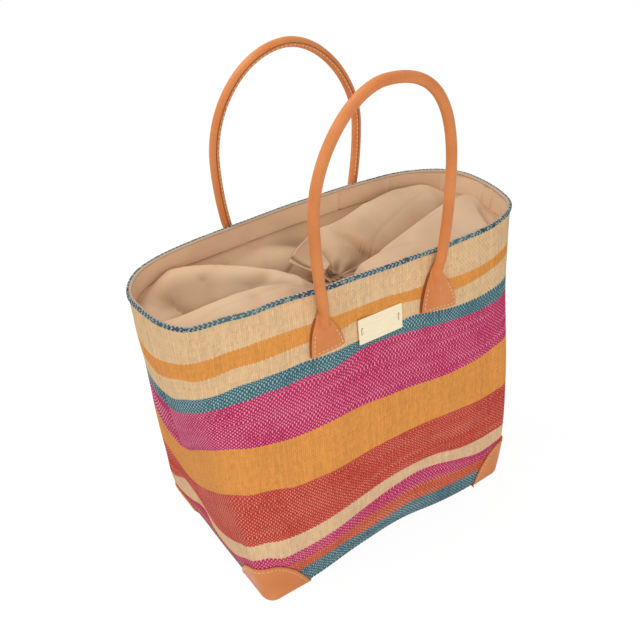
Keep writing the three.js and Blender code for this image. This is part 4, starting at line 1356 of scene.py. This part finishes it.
def sewRoll(label):
    # along the seam on the bag's side of the roll
    handle = handleForm[label]
    bagwards = Vector((0, -handle["signY"], 0))
    spots = []
    for (place, slope), (ahead, _) in zip(paths[label], paths[label][1:]):
        if min(place.z, ahead.z) < stitch["rollStart"]:
            continue
        for part in range(8):
            spot = place.lerp(ahead, part / 8)
            side = slope.cross(bagwards).normalized()
            outward = (bagwards + side * 0.42).normalized()
            spots.append((spot + outward * handleForm["radius"], outward))
    sewAlong(f"{label}_roll_stitches", f"handle_{label}", spots)


for label in ("front", "back"):
    sewRoll(label)
    for side, sideName in enumerate(("left", "right")):
        sewTab(label, side, sideName)
for signX, sideName in ((-1, "left"), (1, "right")):
    for signY, faceName in ((-1, "front"), (1, "back")):
        sewPatch(signX, signY, f"{faceName}_{sideName}")
print("stitches made")


# ---- studio
studio = {"floor": (0.90, 0.90, 0.90, 1.0), "glow": 0.86, "glowLevel": 1.08, "world": 0.46,
          "key": 9.5, "fill": 11.0}


def paleSurface(name, colour, share):
    n = Nodes(name)
    n.tree.nodes.remove(n.shader)
    lit = n.add("BsdfDiffuse", {"Color": colour}).outputs[0]
    glow = n.add("Emission", {"Color": (1, 1, 1, 1), "Strength": studio["glowLevel"]}).outputs[0]
    path = n.add("LightPath")
    seen = n.calc("MAXIMUM", path.outputs["Is Camera Ray"], path.outputs["Is Glossy Ray"])
    seen = n.times(n.calc("MAXIMUM", seen, path.outputs["Is Transmission Ray"]), share)
    mixed = n.add("MixShader", {"Fac": seen, 1: lit, 2: glow}).outputs[0]
    n.tree.links.new(mixed, n.tree.nodes["Material Output"].inputs["Surface"])
    return n.material


def makeStudio():
    mesh = bmesh.new()
    bmesh.ops.create_grid(mesh, x_segments=2, y_segments=2, size=6)
    floor = toObject(mesh, "floor", None, [paleSurface("studio_floor", studio["floor"], studio["glow"])])
    floor.location.z = -0.0002
    world = bpy.context.scene.world or bpy.data.worlds.new("studio")
    bpy.context.scene.world = world
    world.use_nodes = True
    tree = world.node_tree
    tree.nodes.clear()
    output = tree.nodes.new("ShaderNodeOutputWorld")

    def background(strength):
        made = tree.nodes.new("ShaderNodeBackground")
        made.inputs["Color"].default_value = (1, 1, 1, 1)
        made.inputs["Strength"].default_value = strength
        return made
    sky, seen = background(studio["world"]), background(1.0)
    path = tree.nodes.new("ShaderNodeLightPath")
    either = tree.nodes.new("ShaderNodeMath")
    either.operation = "MAXIMUM"
    tree.links.new(path.outputs["Is Camera Ray"], either.inputs[0])
    tree.links.new(path.outputs["Is Glossy Ray"], either.inputs[1])
    mixed = tree.nodes.new("ShaderNodeMixShader")
    tree.links.new(either.outputs[0], mixed.inputs["Fac"])
    tree.links.new(sky.outputs[0], mixed.inputs[1])
    tree.links.new(seen.outputs[0], mixed.inputs[2])
    tree.links.new(mixed.outputs[0], output.inputs["Surface"])
    for name, place, size, power in (
        ("key", (-0.55, 0.45, 1.5), 0.8, studio["key"]),
        ("fill", (-0.6, -1.6, 0.9), 1.5, studio["fill"]),
    ):
        lamp = bpy.data.objects.new(name, bpy.data.lights.new(name, "AREA"))
        lamp.data.energy = power
        lamp.data.size = size
        lamp.location = place
        lamp.rotation_euler = (Vector((0, 0, 0.2)) - Vector(place)).to_track_quat("-Z", "Y").to_euler()
        bpy.context.scene.collection.objects.link(lamp)
    bpy.context.scene.view_settings.view_transform = "Standard"


makeStudio()
print("studio lit")
